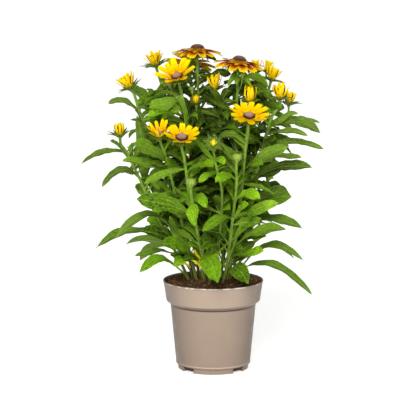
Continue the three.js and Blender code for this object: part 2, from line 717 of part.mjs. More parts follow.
// The green receptacle with its ring of bracts
function bractSolid(bloom, index) {
  const [count, length, rise, end] = bloom.bracts;
  seed = 300 + index;
  const head = {
    radius: 0.94 * plateRadius(bloom),
    rim: -0.9,
    top: 0,
    bottom: -6,
    keel: bractKeel,
    blunt: false,
    hollow: 0.05,
    stations: length > 17 ? [0.5] : [],
    shape: bractShape,
    petals: makePetals(count, () => ({
      length: length * (0.85 + 0.3 * draw()),
      width: 6,
      rise,
      end: end + 0.5 + 16 * (draw() - 0.5),
    })),
  };
  return toSolid(headGeometry(head).applyMatrix4(headFrame(bloom)));
}

// A green bud: closed bracts round a cone
function budSolid(bud) {
  const head = {
    radius: 0.8 * bud.radius,
    rim: 0.2 * bud.radius,
    top: 1.3 * bud.radius,
    bottom: -5,
    keel: bractKeel,
    blunt: false,
    hollow: 0.1,
    stations: [0.35, 0.7],
    shape: () => 1,
    petals: makePetals(7, () => ({
      length: 2 * bud.radius,
      width: 0.9 * bud.radius,
      rise: 55,
      end: 125,
    })),
  };
  return toSolid(headGeometry(head).applyMatrix4(headFrame(bud)));
}

// The disc is a dome whose florets stand out as a checked relief
function discSolid(bloom) {
  const [radius, height] = bloom.disc;
  const profile = [[0, 0], [0.9 * radius, 0]];
  for (let j = 1; j <= discRings; j += 1) {
    const angle = (0.06 + (0.94 * j) / discRings) * (Math.PI / 2);
    profile.push([j === discRings ? 0 : radius * Math.cos(angle) ** 0.8, height * Math.sin(angle)]);
  }
  const geometry = turned(profile, discSides);
  const places = geometry.attributes.position;
  const rows = profile.length;
  for (let k = 0; k < places.count; k += 1) {
    const [i, j] = [Math.floor(k / rows) % discSides, k % rows];
    if (j > 1 && j < rows - 1) {
      const relief = (i + j) % 2 ? 1.07 : 0.95;
      places.setX(k, places.getX(k) * relief);
      places.setY(k, places.getY(k) * relief);
    }
  }
  return toSolid(geometry.translate(0, 0, 2 * gap + plateThickness).applyMatrix4(headFrame(bloom)));
}

// Everything that a leaf has to keep clear of, with the stem that owns it
const placed = [];

function keep(owner, solid, isLeaf = false) {
  placed.push({ owner, solid, isLeaf, box: solid.boundingBox() });
  return solid;
}

function boxesMeet(a, b) {
  return [0, 1, 2].every((k) => a.min[k] <= b.max[k] && b.min[k] <= a.max[k]);
}

function isClear(owner, leaf) {
  const whole = leafSolid(leaf, gap, 0);
  const blade = leafSolid(leaf, gap, footShare);
  const box = whole.boundingBox();
  return placed.every((other) => {
    if (!boxesMeet(box, other.box)) return true;
    if (other.owner !== owner) return whole.intersect(other.solid).isEmpty();
    return !other.isLeaf || blade.intersect(other.solid).isEmpty();
  });
}

// Build
const group = new THREE.Group();
group.name = 'potted_rudbeckia';

const curves = {};
const pieces = {};
const roots = [];

function addHead(owner, name) {
  if (buds[name]) {
    pieces[owner].push(keep(owner, budSolid(buds[name])));
    return;
  }
  const bloom = blooms[name];
  const index = Object.keys(blooms).indexOf(name);
  pieces[owner].push(keep(owner, bractSolid(bloom, index)));
  group.add(toMesh(`rays_${name}`, keep(`rays_${name}`, raySolid(bloom, index)), rayYellow));
  if (bloom.disc[0]) group.add(toMesh(`disc_${name}`, keep(`disc_${name}`, discSolid(bloom)), discBrown));
}

for (const [name, stem] of Object.entries(stems)) {
  const curve = stemCurve(stem);
  curves[name] = curve;
  pieces[name] = [keep(name, tubeSolid(curve, stem.radius, stepsAlong(curve)))];
  roots.push(rootHole(curve, stem));
  addHead(name, stem.head);
}

for (const branch of branches) {
  const start = pointAtHeight(curves[branch.stem], branch.from);
  const curve = stemCurve({ ...branch, start });
  pieces[branch.stem].push(keep(branch.stem, tubeSolid(curve, branch.radius, stepsAlong(curve))));
  addHead(branch.stem, branch.head);
}

group.add(toMesh('pot', keep('pot', makePot()), potPlastic));
group.add(toMesh('soil', keep('soil', makeSoil(roots)), soilPeat));

// A leaf turns its upper face outwards, to the front or to the back, by leafTurn and its own roll
function addLeaf(name, height, tip, width, arch, roll, stalk) {
  const base = pointAtHeight(curves[name], height);
  const outwards = tip.y < 20 ? 1 : -1;
  const shape = {
    base,
    width: width * leafSpread,
    arch,
    roll: outwards * Math.sign(tip.x - base.x) * (leafTurn + roll),
    stalk,
  };
  const tries = bends.map((bend) => ({ ...shape, tip: bentTip(base, tip, bend) }));
  const leaf = tries.find((candidate) => isClear(name, candidate));
  if (leaf) pieces[name].push(keep(name, leafSolid(leaf, 0, 0), true));
}

for (const [name, height, tip, width, arch, roll, stalk] of leaves) {
  addLeaf(name, height, vector(tip), width, arch, roll, stalk);
}

for (const [name, spiral] of Object.entries(spiralStems)) {
  let turn = spiral.first;
  for (let height = spiral.from; height < spiral.to; height += spiralStep) {
    const reach = spiralReach - spiralShrink * (height - spiral.from);
    const base = pointAtHeight(curves[name], height);
    const way = new THREE.Vector3(Math.cos(radians(turn)), Math.sin(radians(turn)), 0.45).normalize();
    addLeaf(name, height, way.multiplyScalar(reach).add(base), 0.24 * reach, 0.12 * reach, 0, 0.1);
    turn += spiralTurn;
  }
}

function clumpRadius(height) {
  const k = Math.max(1, clump.findIndex(([top]) => top > height));
  const [[low, first], [high, last]] = [clump[k - 1], clump[k]];
  return first + ((last - first) * (height - low)) / (high - low);
}

Object.entries(stems).filter(([name]) => !spiralStems[name]).forEach(([name, stem], index) => {
  const head = blooms[stem.head] || buds[stem.head];
  seed = 500 + index;
  for (let height = innerStart + 3 * index; height < head.at[2] - innerBelowHead; height += innerStep) {
    const base = pointAtHeight(curves[name], height);
    const turn = Math.atan2(base.y, base.x) + radians(innerSwing * (2 * draw() - 1));
    const way = new THREE.Vector3(Math.cos(turn), Math.sin(turn), 0.22).normalize();
    let reach = innerReach;
    let tip = base.clone().addScaledVector(way, reach);
    while (Math.hypot(tip.x, tip.y) > clumpRadius(tip.z) && reach > innerShortest) {
      reach *= 0.9;
      tip = base.clone().addScaledVector(way, reach);
    }
    if (reach > innerShortest) addLeaf(name, height, tip, innerWidth * reach, 0.11 * reach, 0, 0.1);
  }
});

for (const [name, solids] of Object.entries(pieces)) {
  group.add(toMesh(`leafy_stem_${name}`, fuse(solids), leafGreen));
}

export default group;
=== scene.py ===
# A potted rudbeckia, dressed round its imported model: finish, fine leaves and blooms, and the soil's crumbs.
# Lengths in the tables are millimetres, +Z up, front towards -Y; scale turns them into metres in the meshes.
import math

import bmesh
import bpy
import numpy as np
from mathutils import Matrix, Vector
from mathutils.kdtree import KDTree


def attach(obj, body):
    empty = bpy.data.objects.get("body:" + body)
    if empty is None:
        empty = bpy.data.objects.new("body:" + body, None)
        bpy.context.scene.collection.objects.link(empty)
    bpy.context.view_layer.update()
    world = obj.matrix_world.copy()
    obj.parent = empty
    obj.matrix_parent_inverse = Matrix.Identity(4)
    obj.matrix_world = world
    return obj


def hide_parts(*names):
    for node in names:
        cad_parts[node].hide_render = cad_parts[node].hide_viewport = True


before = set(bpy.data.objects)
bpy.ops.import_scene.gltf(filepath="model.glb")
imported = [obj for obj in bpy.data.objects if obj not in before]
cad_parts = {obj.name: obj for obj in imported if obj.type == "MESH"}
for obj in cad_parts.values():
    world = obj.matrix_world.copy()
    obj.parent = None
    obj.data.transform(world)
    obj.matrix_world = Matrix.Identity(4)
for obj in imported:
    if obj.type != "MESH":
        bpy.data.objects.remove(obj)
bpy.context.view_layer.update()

scale = 0.001
up = np.array([0.0, 0.0, 1.0])
anyTurn = 6.28              # a random share of this turns a small piece any way


def hue(red, green, blue):
    # a colour as a picture program gives it, made linear
    return tuple(c / 255 / 12.92 if c <= 10 else ((c / 255 + 0.055) / 1.055) ** 2.4 for c in (red, green, blue))


def dimmed(color, share):
    return tuple(share * c for c in color)


def linked(name, data):
    made = bpy.data.objects.new(name, data)
    bpy.context.scene.collection.objects.link(made)
    return made


# Camera, light and floor

camera = {
    "distance": 3200,       # in front of the pot's axis
    "height": 774,
    "pitch": 8.867,         # degrees down
    "aside": -8.8,
    "focal": 1917,          # in the photograph's pixels
    "frameWidth": 416,
    "sensor": 36,
}

studio = {
    "worldStrength": 0.16,
    "floorColor": (0.93, 0.93, 0.92),
    "floorGlow": (0.6, 0.9),        # near the pot, and from glowReach metres on
    "glowReach": (0.7, 4.5),
    "floorHalf": 30,                # metres
    "floorDrop": 0.0006,
    "lights": [                     # name, place in metres, size, watts, colour
        ("key", (-0.5, -2.95, 2.1), 1.6, 99, (1.0, 0.985, 0.95)),
        ("fill", (0.9, -3.1, 0.7), 1.4, 22, (1.0, 0.99, 0.97)),
        ("rim", (0.5, 2.4, 2.6), 1.5, 26, (1.0, 1.0, 1.0)),
    ],
    "aim": (0.0, 0.0, 0.32),
}


def makeCamera():
    data = bpy.data.cameras.new("camera")
    data.sensor_width = camera["sensor"]
    data.lens = camera["focal"] / camera["frameWidth"] * camera["sensor"]
    data.clip_end = 100
    eye = linked("camera", data)
    eye.location = Vector((camera["aside"], -camera["distance"], camera["height"])) * scale
    eye.rotation_euler = (math.radians(90 - camera["pitch"]), 0, 0)
    bpy.context.scene.camera = eye


def makeLights():
    for name, place, size, watts, color in studio["lights"]:
        data = bpy.data.lights.new(name, "AREA")
        data.shape = "DISK"
        data.size = size
        data.energy = watts
        data.color = color
        lamp = linked(name, data)
        lamp.location = place
        lamp.rotation_euler = (Vector(studio["aim"]) - Vector(place)).to_track_quat("-Z", "Y").to_euler()
    world = bpy.data.worlds.new("studio")
    world.use_nodes = True
    shade = world.node_tree.nodes["Background"]
    shade.inputs["Color"].default_value = (1, 1, 1, 1)
    shade.inputs["Strength"].default_value = studio["worldStrength"]
    bpy.context.scene.world = world
    bpy.context.scene.view_settings.view_transform = "Standard"


def makeFloor():
    half, low = studio["floorHalf"], -studio["floorDrop"]
    mesh = bpy.data.meshes.new("floor")
    corners = [(-half, -half, low), (half, -half, low), (half, half, low), (-half, half, low)]
    mesh.from_pydata(corners, [], [(0, 1, 2, 3)])
    paper = Finish("paleFloor", studio["floorColor"])
    paper.surface(0.9)
    away = Wire(paper, paper.node("VectorMath", {0: paper.place()}, operation="LENGTH").outputs["Value"])
    paper.plug(paper.shader.inputs["Emission Color"], (1, 1, 1))
    glow = paper.smooth(away, *studio["glowReach"], *studio["floorGlow"])
    paper.plug(paper.shader.inputs["Emission Strength"], glow)
    mesh.materials.append(paper.material)
    floor = linked("floor", mesh)


# Node materials

class Wire:
    # a value in a node tree, for sums and products written as such
    def __init__(self, finish, socket):
        self.finish = finish
        self.socket = socket

    def __add__(self, other):
        return self.finish.math("ADD", self, other)

    def __sub__(self, other):
        return self.finish.math("SUBTRACT", self, other)

    def __mul__(self, other):
        return self.finish.math("MULTIPLY", self, other)

    def __abs__(self):
        return self.finish.math("ABSOLUTE", self)


class Finish:
    # a material built up from a base colour by painting others over it
    def __init__(self, name, color=None):
        self.material = bpy.data.materials.new(name)
        self.material.use_nodes = True
        self.nodes = self.material.node_tree.nodes
        self.links = self.material.node_tree.links
        self.shader = self.nodes["Principled BSDF"]
        self.color = color

    def plug(self, target, value):
        if isinstance(value, Wire):
            self.links.new(value.socket, target)
        else:
            target.default_value = (*value, 1) if isinstance(value, tuple) else value

    def node(self, kind, inputs=None, **settings):
        made = self.nodes.new("ShaderNode" + kind)
        for key, value in settings.items():
            setattr(made, key, value)
        for key, value in (inputs or {}).items():
            self.plug(made.inputs[key], value)
        return made

    def math(self, operation, a, b=0.0):
        return Wire(self, self.node("Math", {0: a, 1: b}, operation=operation).outputs[0])

    def highest(self, a, b):
        return self.math("MAXIMUM", a, b)

    def smooth(self, value, low, high, first=0.0, last=1.0):
        inputs = dict(enumerate((value, low, high, first, last)))
        return Wire(self, self.node("MapRange", inputs, interpolation_type="SMOOTHSTEP").outputs[0])

    def mix(self, share, a, b):
        return Wire(self, self.node("Mix", {0: share, 6: a, 7: b}, data_type="RGBA").outputs[2])

    def paint(self, share, color):
        self.color = self.mix(share, self.color, color)

    def split(self, vector):
        return [Wire(self, socket) for socket in self.node("SeparateXYZ", {0: vector}).outputs]

    def read(self, name):
        return self.split(Wire(self, self.node("Attribute", attribute_name=name).outputs["Vector"]))

    def place(self):
        return Wire(self, self.node("TexCoord").outputs["Object"])

    def noise(self, size, detail=3.0, rough=0.5):
        inputs = {"Vector": self.place(), "Scale": 1 / (size * scale), "Detail": detail, "Roughness": rough}
        return Wire(self, self.node("TexNoise", inputs).outputs["Fac"])

    def cells(self, size):
        inputs = {"Vector": self.place(), "Scale": 1 / (size * scale)}
        return Wire(self, self.node("TexVoronoi", inputs, feature="DISTANCE_TO_EDGE").outputs["Distance"])

    def facing(self):
        # 0 where the surface faces the eye, 1 at its outline
        return Wire(self, self.node("LayerWeight", {"Blend": 0.5}).outputs["Facing"])

    def ramp(self, value, stops):
        made = self.node("ValToRGB", {0: value})
        band = made.color_ramp
        while len(band.elements) < len(stops):
            band.elements.new(0.5)
        for element, (spot, color) in zip(band.elements, stops):
            element.position = spot
            element.color = (*color, 1)
        return Wire(self, made.outputs[0])

    def surface(self, roughness, shine=0.5):
        sockets = {"Base Color": self.color, "Roughness": roughness, "Specular IOR Level": shine}
        for key, value in sockets.items():
            self.plug(self.shader.inputs[key], value)

    def bump(self, height, depth, strength):
        made = self.node("Bump", {"Height": height, "Distance": depth * scale, "Strength": strength})
        self.links.new(made.outputs[0], self.shader.inputs["Normal"])


# Meshes: a part holds places, faces, and two values at each place, where it lies and its tone

def repeatable(seed):
    return np.random.default_rng(seed)


def unit(vectors):
    return vectors / np.maximum(np.linalg.norm(vectors, axis=-1, keepdims=True), 1e-9)


def turnAbout(vectors, axis, angle):
    c, s = np.cos(angle), np.sin(angle)
    return vectors * c + np.cross(axis, vectors) * s + axis * (vectors @ axis)[..., None] * (1 - c)


def anglesOf(sides):
    return np.arange(sides) / sides * 2 * np.pi


def around(radius, angles, height):
    # places at a radius and a height round the z axis
    x, y = radius * np.cos(angles), radius * np.sin(angles)
    return np.stack([x, y, height + 0 * x], -1)


def ringFaces(rows, cols):
    i, j = np.meshgrid(np.arange(rows - 1), np.arange(cols), indexing="ij")
    k = (j + 1) % cols
    return np.stack([i * cols + j, (i + 1) * cols + j, (i + 1) * cols + k, i * cols + k], -1).reshape(-1, 4)


def partOf(places, quads, where, tone, skin):
    places, where, tone = (values.reshape(-1, 3) for values in (places, where, tone))
    return {"places": places, "quads": quads, "where": where, "tone": tone, "skin": skin}


def bladePart(top, under, along, across, offset, tint, extra, skin):
    # a thin closed blade: its upper grid and its lower one share their edges
    rows, cols = top.shape[:2]
    back = np.s_[:, -2:0:-1]
    ring = np.concatenate([top, under[back]], 1)
    where = np.stack([np.concatenate([a, a[back]], 1) for a in (along, across, offset)], -1)
    below = np.concatenate([np.zeros((rows, cols)), np.ones((rows, cols - 2))], 1)
    tone = np.stack([np.full_like(below, tint), below, np.full_like(below, extra)], -1)
    return partOf(ring, ringFaces(rows, 2 * cols - 2), where, tone, skin)


def tubePart(line, radii, sides, tint, skin, ribs=0.05):
    # a round stem along a line, with faint ribs, its frame carried along without twist
    ways = unit(np.gradient(line, axis=0))
    side = unit(np.cross(ways[0], up if abs(ways[0][2]) < 0.9 else np.array([1.0, 0, 0])))
    angles = anglesOf(sides)
    c, s, rows = np.cos(angles)[:, None], np.sin(angles)[:, None], []
    for place, way, radius in zip(line, ways, radii):
        side = unit(side - way * (side @ way))
        other = np.cross(way, side)
        reach = radius * (1 + ribs * np.cos(angles * sides / 2))
        rows.append(place + reach[:, None] * (c * side + s * other))
    count = len(line)
    where, tone = np.zeros((2, count, sides, 3))
    where[..., 0] = np.linspace(0, 1, count)[:, None]
    where[..., 1] = np.cos(angles)
    where[..., 2] = np.asarray(line)[:, None, 2]
    tone[..., 0] = tint
    return partOf(np.array(rows), ringFaces(count, sides)[:, ::-1], where, tone, skin)


def lathePart(profile, sides, tint, skin, extra=(0, 0)):
    # a turned shape from an outline of radius and height; extra is a tone along it
    profile, count = np.array(profile, float), len(profile)
    rows = around(profile[:, :1], anglesOf(sides), profile[:, 1:])
    where, tone = np.zeros((2, *rows.shape))
    where[..., 0] = np.linspace(0, 1, count)[:, None]
    where[..., 2] = profile[:, :1]
    tone[..., 0] = tint
    tone[..., 2] = np.clip(np.linspace(*extra, count), 0, 1)[:, None]
    return partOf(rows, ringFaces(count, sides)[:, ::-1], where, tone, skin)


def framesFor(normals, turns):
    # one turning matrix for each normal, spun about it
    helper = np.where(np.abs(normals[:, 2:]) < 0.9, up, np.array([1.0, 0, 0]))
    first = unit(np.cross(normals, helper))
    second = np.cross(normals, first)
    c, s = np.cos(turns)[:, None], np.sin(turns)[:, None]
    return np.stack([first * c + second * s, second * c - first * s, normals], -1)


def scattered(shape, places, frames, sizes, tones, skin):
    # copies of one small shape, given as places and faces, merged as one part
    spots, faces = shape
    count, size = len(places), len(spots)
    cloud = np.einsum("nij,nkj->nki", frames, spots[None] * np.asarray(sizes)[:, None, :]) + places[:, None]
    allFaces = (faces[None] + (np.arange(count) * size)[:, None, None]).reshape(-1, faces.shape[1])
    where = np.zeros((count, size, 3))
    where[..., 0] = (spots[:, 2] / max(spots[:, 2].max(), 1e-6))[None]
    return partOf(cloud, allFaces, where, np.repeat(np.asarray(tones, float)[:, None], size, 1), skin)


def tonesFor(shades, extra):
    # the tones of scattered shapes
    return np.stack([shades, np.zeros(len(shades)), extra * np.ones(len(shades))], -1)


def hairShape():
    foot = around(0.07, anglesOf(3), -0.05)
    return np.vstack([foot, [[0, 0, 1]]]), np.array([[0, 1, 3], [1, 2, 3], [2, 0, 3]])


def lumpShape(draw):
    # a rough crumb
    mesh = bmesh.new()
    bmesh.ops.create_icosphere(mesh, subdivisions=1, radius=1)
    spots = np.array([v.co for v in mesh.verts]) * (1 + 0.25 * (draw.random((len(mesh.verts), 1)) - 0.5))
    faces = np.array([[v.index for v in f.verts] for f in mesh.faces])
    mesh.free()
    return spots, faces


def hairsOn(part, spacing, length, lean, draw):
    # hairs that stand on a part's faces, one for about every spacing x spacing of surface
    corners = part["places"][part["quads"]]
    across = np.cross(corners[:, 2] - corners[:, 0], corners[:, 3] - corners[:, 1])
    area = np.linalg.norm(across, axis=1) / 2
    count = int(area.sum() / spacing ** 2)
    if count == 0:
        return []
    pick = draw.choice(len(area), count, p=area / area.sum())
    a, b = draw.random((2, count, 1))
    c = corners[pick]
    spots = (c[:, 0] * (1 - a) + c[:, 3] * a) * (1 - b) + (c[:, 1] * (1 - a) + c[:, 2] * a) * b
    normals = unit(unit(across[pick]) + lean * (draw.random((count, 3)) - 0.5))
    sizes = np.ones((count, 3))
    sizes[:, 2] = length * (0.6 + 0.8 * draw.random(count))
    frames, tones = framesFor(normals, np.zeros(count)), tonesFor(np.full(count, 0.5), 0)
    return [scattered(hairShape(), spots, frames, sizes, tones, hairSkin)]


def makePiece(name, parts, finishes, node, sharp=50):
    faces, skins, base = [], [], 0
    for part in parts:
        faces += (part["quads"] + base).tolist()
        skins += [part["skin"]] * len(part["quads"])
        base += len(part["places"])
    mesh = bpy.data.meshes.new(name)
    mesh.from_pydata((np.concatenate([p["places"] for p in parts]) * scale).tolist(), [], faces)
    for key in ("where", "tone"):
        layer = mesh.attributes.new(key, "FLOAT_VECTOR", "POINT")
        layer.data.foreach_set("vector", np.concatenate([p[key] for p in parts]).astype(np.float32).ravel())
    for finish in finishes:
        mesh.materials.append(finish.material)
    mesh.polygons.foreach_set("material_index", skins)
    mesh.polygons.foreach_set("use_smooth", [True] * len(skins))
    mesh.set_sharp_from_angle(angle=math.radians(sharp))
    piece = linked(name, mesh)
    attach(piece, "root")
    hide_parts(node)
    return piece


# Pot

pot = {
    "height": 152, "rimRadius": 85, "wall": 2.1, "footRadius": 59.5, "footHeight": 8, "floor": 2.2,
    "collarFoot": 112.5, "shoulderRise": 5, "shoulderRadius": 72.6, "collarRadius": 79.6,
    "notchWidth": 24, "notchHeight": 9.5, "notches": 4, "channelStart": 24,
    "drainRadius": 5, "drainPlace": 46, "sides": 160, "sharp": 35,
    # colours of the plastic, of the painted light on the collar and the foot ring, of the painted highlight on
    # the lip, of the dust on the collar, and of the painted shadow under the collar
    "plastic": hue(147, 128, 113), "edge": hue(206, 187, 168),
    "lipHighlight": hue(232, 226, 214), "dirt": hue(74, 56, 38), "groove": hue(52, 34, 20),
}


def rounded(profile, radius=0.7, steps=3):
    # the corners of an outline eased with short curves
    points = [np.array(p, float) for p in profile]
    eased = [points[0]]
    for before, corner, after in zip(points, points[1:], points[2:]):
        edges = (before - corner, after - corner)
        start, end = (corner + unit(edge) * min(radius, 0.45 * np.linalg.norm(edge)) for edge in edges)
        for t in np.arange(steps + 1) / steps:
            eased.append((1 - t) ** 2 * start + 2 * t * (1 - t) * corner + t ** 2 * end)
    return eased + [points[-1]]


def potOutline():
    foot, high, rim, top = pot["footRadius"], pot["footHeight"], pot["rimRadius"], pot["height"]
    wall, collar, low = pot["wall"], pot["collarRadius"], pot["collarFoot"]
    shoulder = low + pot["shoulderRise"]
    outside = [
        (0.01, 0), (foot, 0), (foot + 0.8, high), (foot + 3.9, high + 1.5), (foot + 4.1, high + 4),
        (foot + 3.9, high + 4.6), (pot["shoulderRadius"], low), (collar - 0.4, shoulder),
        (collar + 0.2, shoulder + 1.2), (rim - 0.9, top - 3.6), (rim, top - 3), (rim, top),
    ]
    inside = [
        (rim - wall - 0.3, top), (collar - wall, shoulder + 1.8), (pot["shoulderRadius"] - wall, low + 1.8),
        (foot + 1.8, high + 3), (foot - 1.2, pot["floor"]), (0.01, pot["floor"]),
    ]
    return outside + inside


def solidBox(width, height, start, end, low=0.0):
    mesh = bmesh.new()
    place = Matrix.Translation(((start + end) / 2, 0, low + height / 2))
    bmesh.ops.create_cube(mesh, size=1, matrix=place @ Matrix.Diagonal((end - start, width, height, 1)))
    return mesh


def drainHole():
    mesh = bmesh.new()
    place = Matrix.Translation((pot["drainPlace"], 0, pot["notchHeight"]))
    size = {"radius1": pot["drainRadius"], "radius2": pot["drainRadius"], "depth": 3 * pot["notchHeight"]}
    bmesh.ops.create_cone(mesh, cap_ends=True, segments=24, matrix=place, **size)
    return mesh


def combine(target, operation, make, *sizes):
    # one copy of a shape at each notch, joined to the pot or cut from it
    whole = bmesh.new()
    for i in range(pot["notches"]):
        one = make(*sizes)
        one.transform(Matrix.Rotation((i + 0.5) / pot["notches"] * 2 * math.pi, 4, "Z"))
        data = bpy.data.meshes.new("part")
        one.to_mesh(data)
        one.free()
        whole.from_mesh(data)
        bpy.data.meshes.remove(data)
    data = bpy.data.meshes.new("tool")
    whole.to_mesh(data)
    whole.free()
    data.transform(Matrix.Scale(scale, 4))
    tool = linked("tool", data)
    change = target.modifiers.new("cut", "BOOLEAN")
    change.operation = operation
    change.solver = "EXACT"
    change.object = tool
    graph = bpy.context.evaluated_depsgraph_get()
    mesh = bpy.data.meshes.new_from_object(target.evaluated_get(graph))
    target.modifiers.clear()
    target.data = mesh
    bpy.data.objects.remove(tool)


def potFinish():
    base, top, foot, collar = pot["plastic"], pot["height"], pot["footHeight"], pot["collarFoot"]
    plastic = Finish("taupePlastic", base)
    height = plastic.split(plastic.place())[2] * (1 / scale)        # in millimetres, as in the dictionary
    plastic.paint(plastic.smooth(plastic.noise(38, 4), 0.3, 0.7, 0.0, 0.5), dimmed(base, 0.9))
    # darker towards the bottom
    plastic.paint(plastic.smooth(height, 70, 0, 0.0, 0.14), dimmed(base, 0.5))
    plastic.paint(plastic.smooth(plastic.noise(1.1, 2), 0.66, 0.76, 0.0, 0.4), dimmed(base, 0.72))
    # painted highlight: a broken light line along the lip of the rim
    lip = plastic.smooth(height, top - 2.1, top - 1.5) * plastic.smooth(plastic.noise(13, 3), 0.42, 0.58)
    plastic.paint(lip * 0.8, pot["lipHighlight"])
    # painted light: the collar lighter where it stands out into the light, and a lit line along the step of the
    # foot ring
    brighter = plastic.smooth(height, collar + 1.5, collar + 5, 0.0, 0.2)
    ring = plastic.smooth(height, foot + 3.2, foot + 3.8, 0.0, 0.5)
    ring = ring * plastic.smooth(height, foot + 5.4, foot + 4.8)
    plastic.paint(plastic.highest(brighter, ring), pot["edge"])
    dust = plastic.smooth(plastic.noise(7, 5, 0.7), 0.62, 0.8) * plastic.smooth(height, 118, 150)
    plastic.paint(dust * 0.35, pot["dirt"])
    # painted shadow: a dark band on the wall just under the collar, where its ledge shades it
    under = plastic.smooth(height, collar - 2.8, collar - 1.8)
    under = under * plastic.smooth(height, collar + 0.4, collar - 0.2)
    plastic.paint(under * 0.95, pot["groove"])
    # painted shade: the plastic darker towards the pot's outline, where its sides turn from the light
    plastic.paint(plastic.smooth(plastic.facing(), 0.08, 0.78, 0.0, 0.6), dimmed(base, 0.28))
    plastic.surface(plastic.smooth(plastic.noise(16, 4), 0.3, 0.7, 0.4, 0.54), 0.36)
    plastic.bump(plastic.noise(0.9, 2) + plastic.noise(12, 2) * 1.4, 0.1, 0.5)
    return plastic


def makePot():
    wide, tall, wall = pot["notchWidth"], pot["notchHeight"], pot["wall"]
    start, end = pot["channelStart"], pot["footRadius"] - 0.5
    outline = lathePart(rounded(potOutline()), pot["sides"], 0.5, 0)
    shell = makePiece("nursery_pot", [outline], [potFinish()], "pot", pot["sharp"])
    seal = bmesh.new()          # its ends closed on the axis
    seal.from_mesh(shell.data)
    bmesh.ops.remove_doubles(seal, verts=seal.verts, dist=0.05 * scale)
    seal.to_mesh(shell.data)
    seal.free()
    combine(shell, "UNION", solidBox, wide + 2 * wall, tall + wall, start - wall, end, 0.02)
    combine(shell, "DIFFERENCE", solidBox, wide, tall + 1, start, pot["rimRadius"], -1)
    combine(shell, "DIFFERENCE", drainHole)
    shell.data.set_sharp_from_angle(angle=math.radians(pot["sharp"]))
    for face in shell.data.polygons:
        face.use_smooth = True


# Soil

soil = {
    "edge": 148.5, "mound": 153.5, "rings": 46, "sides": 150, "crumbs": 2500, "chips": 360, "fibres": 160,
    "waves": 1.3, "rough": 1.1,
    "chipSizes": ((1.2, 2.6), (0.8, 1.2), (0.35, 0.4)),      # the least, and up to how much more
    "dark": hue(46, 31, 17), "mid": hue(88, 60, 34), "bark": hue(166, 94, 42), "pale": hue(180, 138, 92),
}


def soilHeight(x, y):
    edge, mound = soil["edge"], soil["mound"]
    r = np.hypot(x, y) / pot["rimRadius"]
    swell = np.interp(r, [0, 0.6, 0.8, 0.94, 1], [mound, mound, mound - 1.5, edge, edge - 1])
    waves = np.sin(0.11 * x + 1.3) * np.cos(0.13 * y - 0.4)
    waves = waves + 0.6 * np.sin(0.29 * x - 0.21 * y) + 0.35 * np.sin(0.71 * x + 0.53 * y + 2)
    return swell + soil["waves"] * waves


def soilPart(draw):
    floor, foot, wall = pot["floor"] + 0.4, pot["footRadius"], pot["wall"]
    side = [
        (0.01, floor), (foot - 2, floor), (foot + 1, pot["footHeight"] + 3),
        (pot["shoulderRadius"] - wall - 0.8, pot["collarFoot"] + 2.2),
        (pot["collarRadius"] - wall - 0.6, pot["collarFoot"] + pot["shoulderRise"] + 2.4),
    ]
    reach, rings = pot["rimRadius"] - wall - 1.6, soil["rings"]
    spread = [(reach * (1 - k / rings) ** 0.9, soil["edge"]) for k in range(rings)] + [(0.01, soil["mound"])]
    part = lathePart(side + spread, soil["sides"], 0.2, 0)
    top = part["places"].reshape(-1, soil["sides"], 3)[len(side):]
    rough = soil["rough"] * (draw.random(top.shape[:2]) - 0.5)
    x, y = top[..., 0], top[..., 1]
    top[..., 2] = soilHeight(x, y) + rough * np.minimum(1, np.hypot(x, y) / 8)
    top[-1, :, 2] = top[-1, :, 2].mean()
    return part


def soilFinish():
    peat = Finish("dampPeat")
    shade, _, loose = peat.read("tone")
    ground = peat.mix(peat.smooth(peat.noise(6, 5, 0.7), 0.35, 0.7), soil["dark"], soil["mid"])
    stops = [(0.0, soil["dark"]), (0.55, soil["mid"]), (0.82, soil["bark"]), (1.0, soil["pale"])]
    peat.color = peat.mix(loose, ground, peat.ramp(shade, stops))
    peat.paint(peat.smooth(peat.noise(1.4, 3), 0.4, 0.75, 0.0, 0.45), soil["dark"])
    peat.surface(0.95)
    peat.bump(peat.noise(1.0, 5, 0.8), 0.7, 0.9)
    return peat


def topSpots(count, draw, reach=0.93):
    angle = draw.random(count) * 2 * np.pi
    spots = around(np.sqrt(draw.random(count)) * reach * (pot["rimRadius"] - pot["wall"]), angle, 0)
    spots[:, 2] = soilHeight(*spots.T[:2])
    return spots


def makeSoil():
    draw = repeatable(11)
    parts = [soilPart(draw)]
    count = soil["crumbs"]
    sizes = (0.35 + 1.5 * draw.random((count, 1)) ** 3) * (0.7 + 0.6 * draw.random((count, 3)))
    tones = tonesFor(draw.random(count) ** 1.8 * 0.8, 1)
    lump, spots = lumpShape(draw), topSpots(count, draw)
    anyWay = framesFor(unit(draw.normal(size=(count, 3))), draw.random(count) * anyTurn)
    parts.append(scattered(lump, spots, anyWay, sizes, tones, 0))
    count = soil["chips"]
    flat = np.stack([least + extra * draw.random(count) for least, extra in soil["chipSizes"]], -1)
    tilt = framesFor(unit(up + 0.9 * (draw.random((count, 3)) - 0.5)), draw.random(count) * anyTurn)
    tones = tonesFor(0.55 + 0.45 * draw.random(count), 1)
    parts.append(scattered(lumpShape(draw), topSpots(count, draw) + [0, 0, 0.5], tilt, flat, tones, 0))
    for spot in topSpots(soil["fibres"], draw, 0.9):
        turn, bend = draw.random() * anyTurn, draw.normal(size=2)
        t = np.linspace(-1, 1, 5)[:, None]
        way = np.array([math.cos(turn), math.sin(turn), 0])
        line = spot + [0, 0, 0.9] + way * t * (2 + 3 * draw.random())
        line = line + np.cross(up, way) * bend[0] * t ** 2 + up * 0.5 * abs(bend[1]) * t ** 2
        part = tubePart(line, np.full(5, 0.22), 4, 0.5 + 0.5 * draw.random(), 0)
        part["tone"][:, 2] = 1
        parts.append(part)
    makePiece("peat", parts, [soilFinish()], "soil")


def table(columns, rows):
    # named rows, each a dictionary by column
    return {name: dict(zip(columns, row)) for name, row in rows.items()}


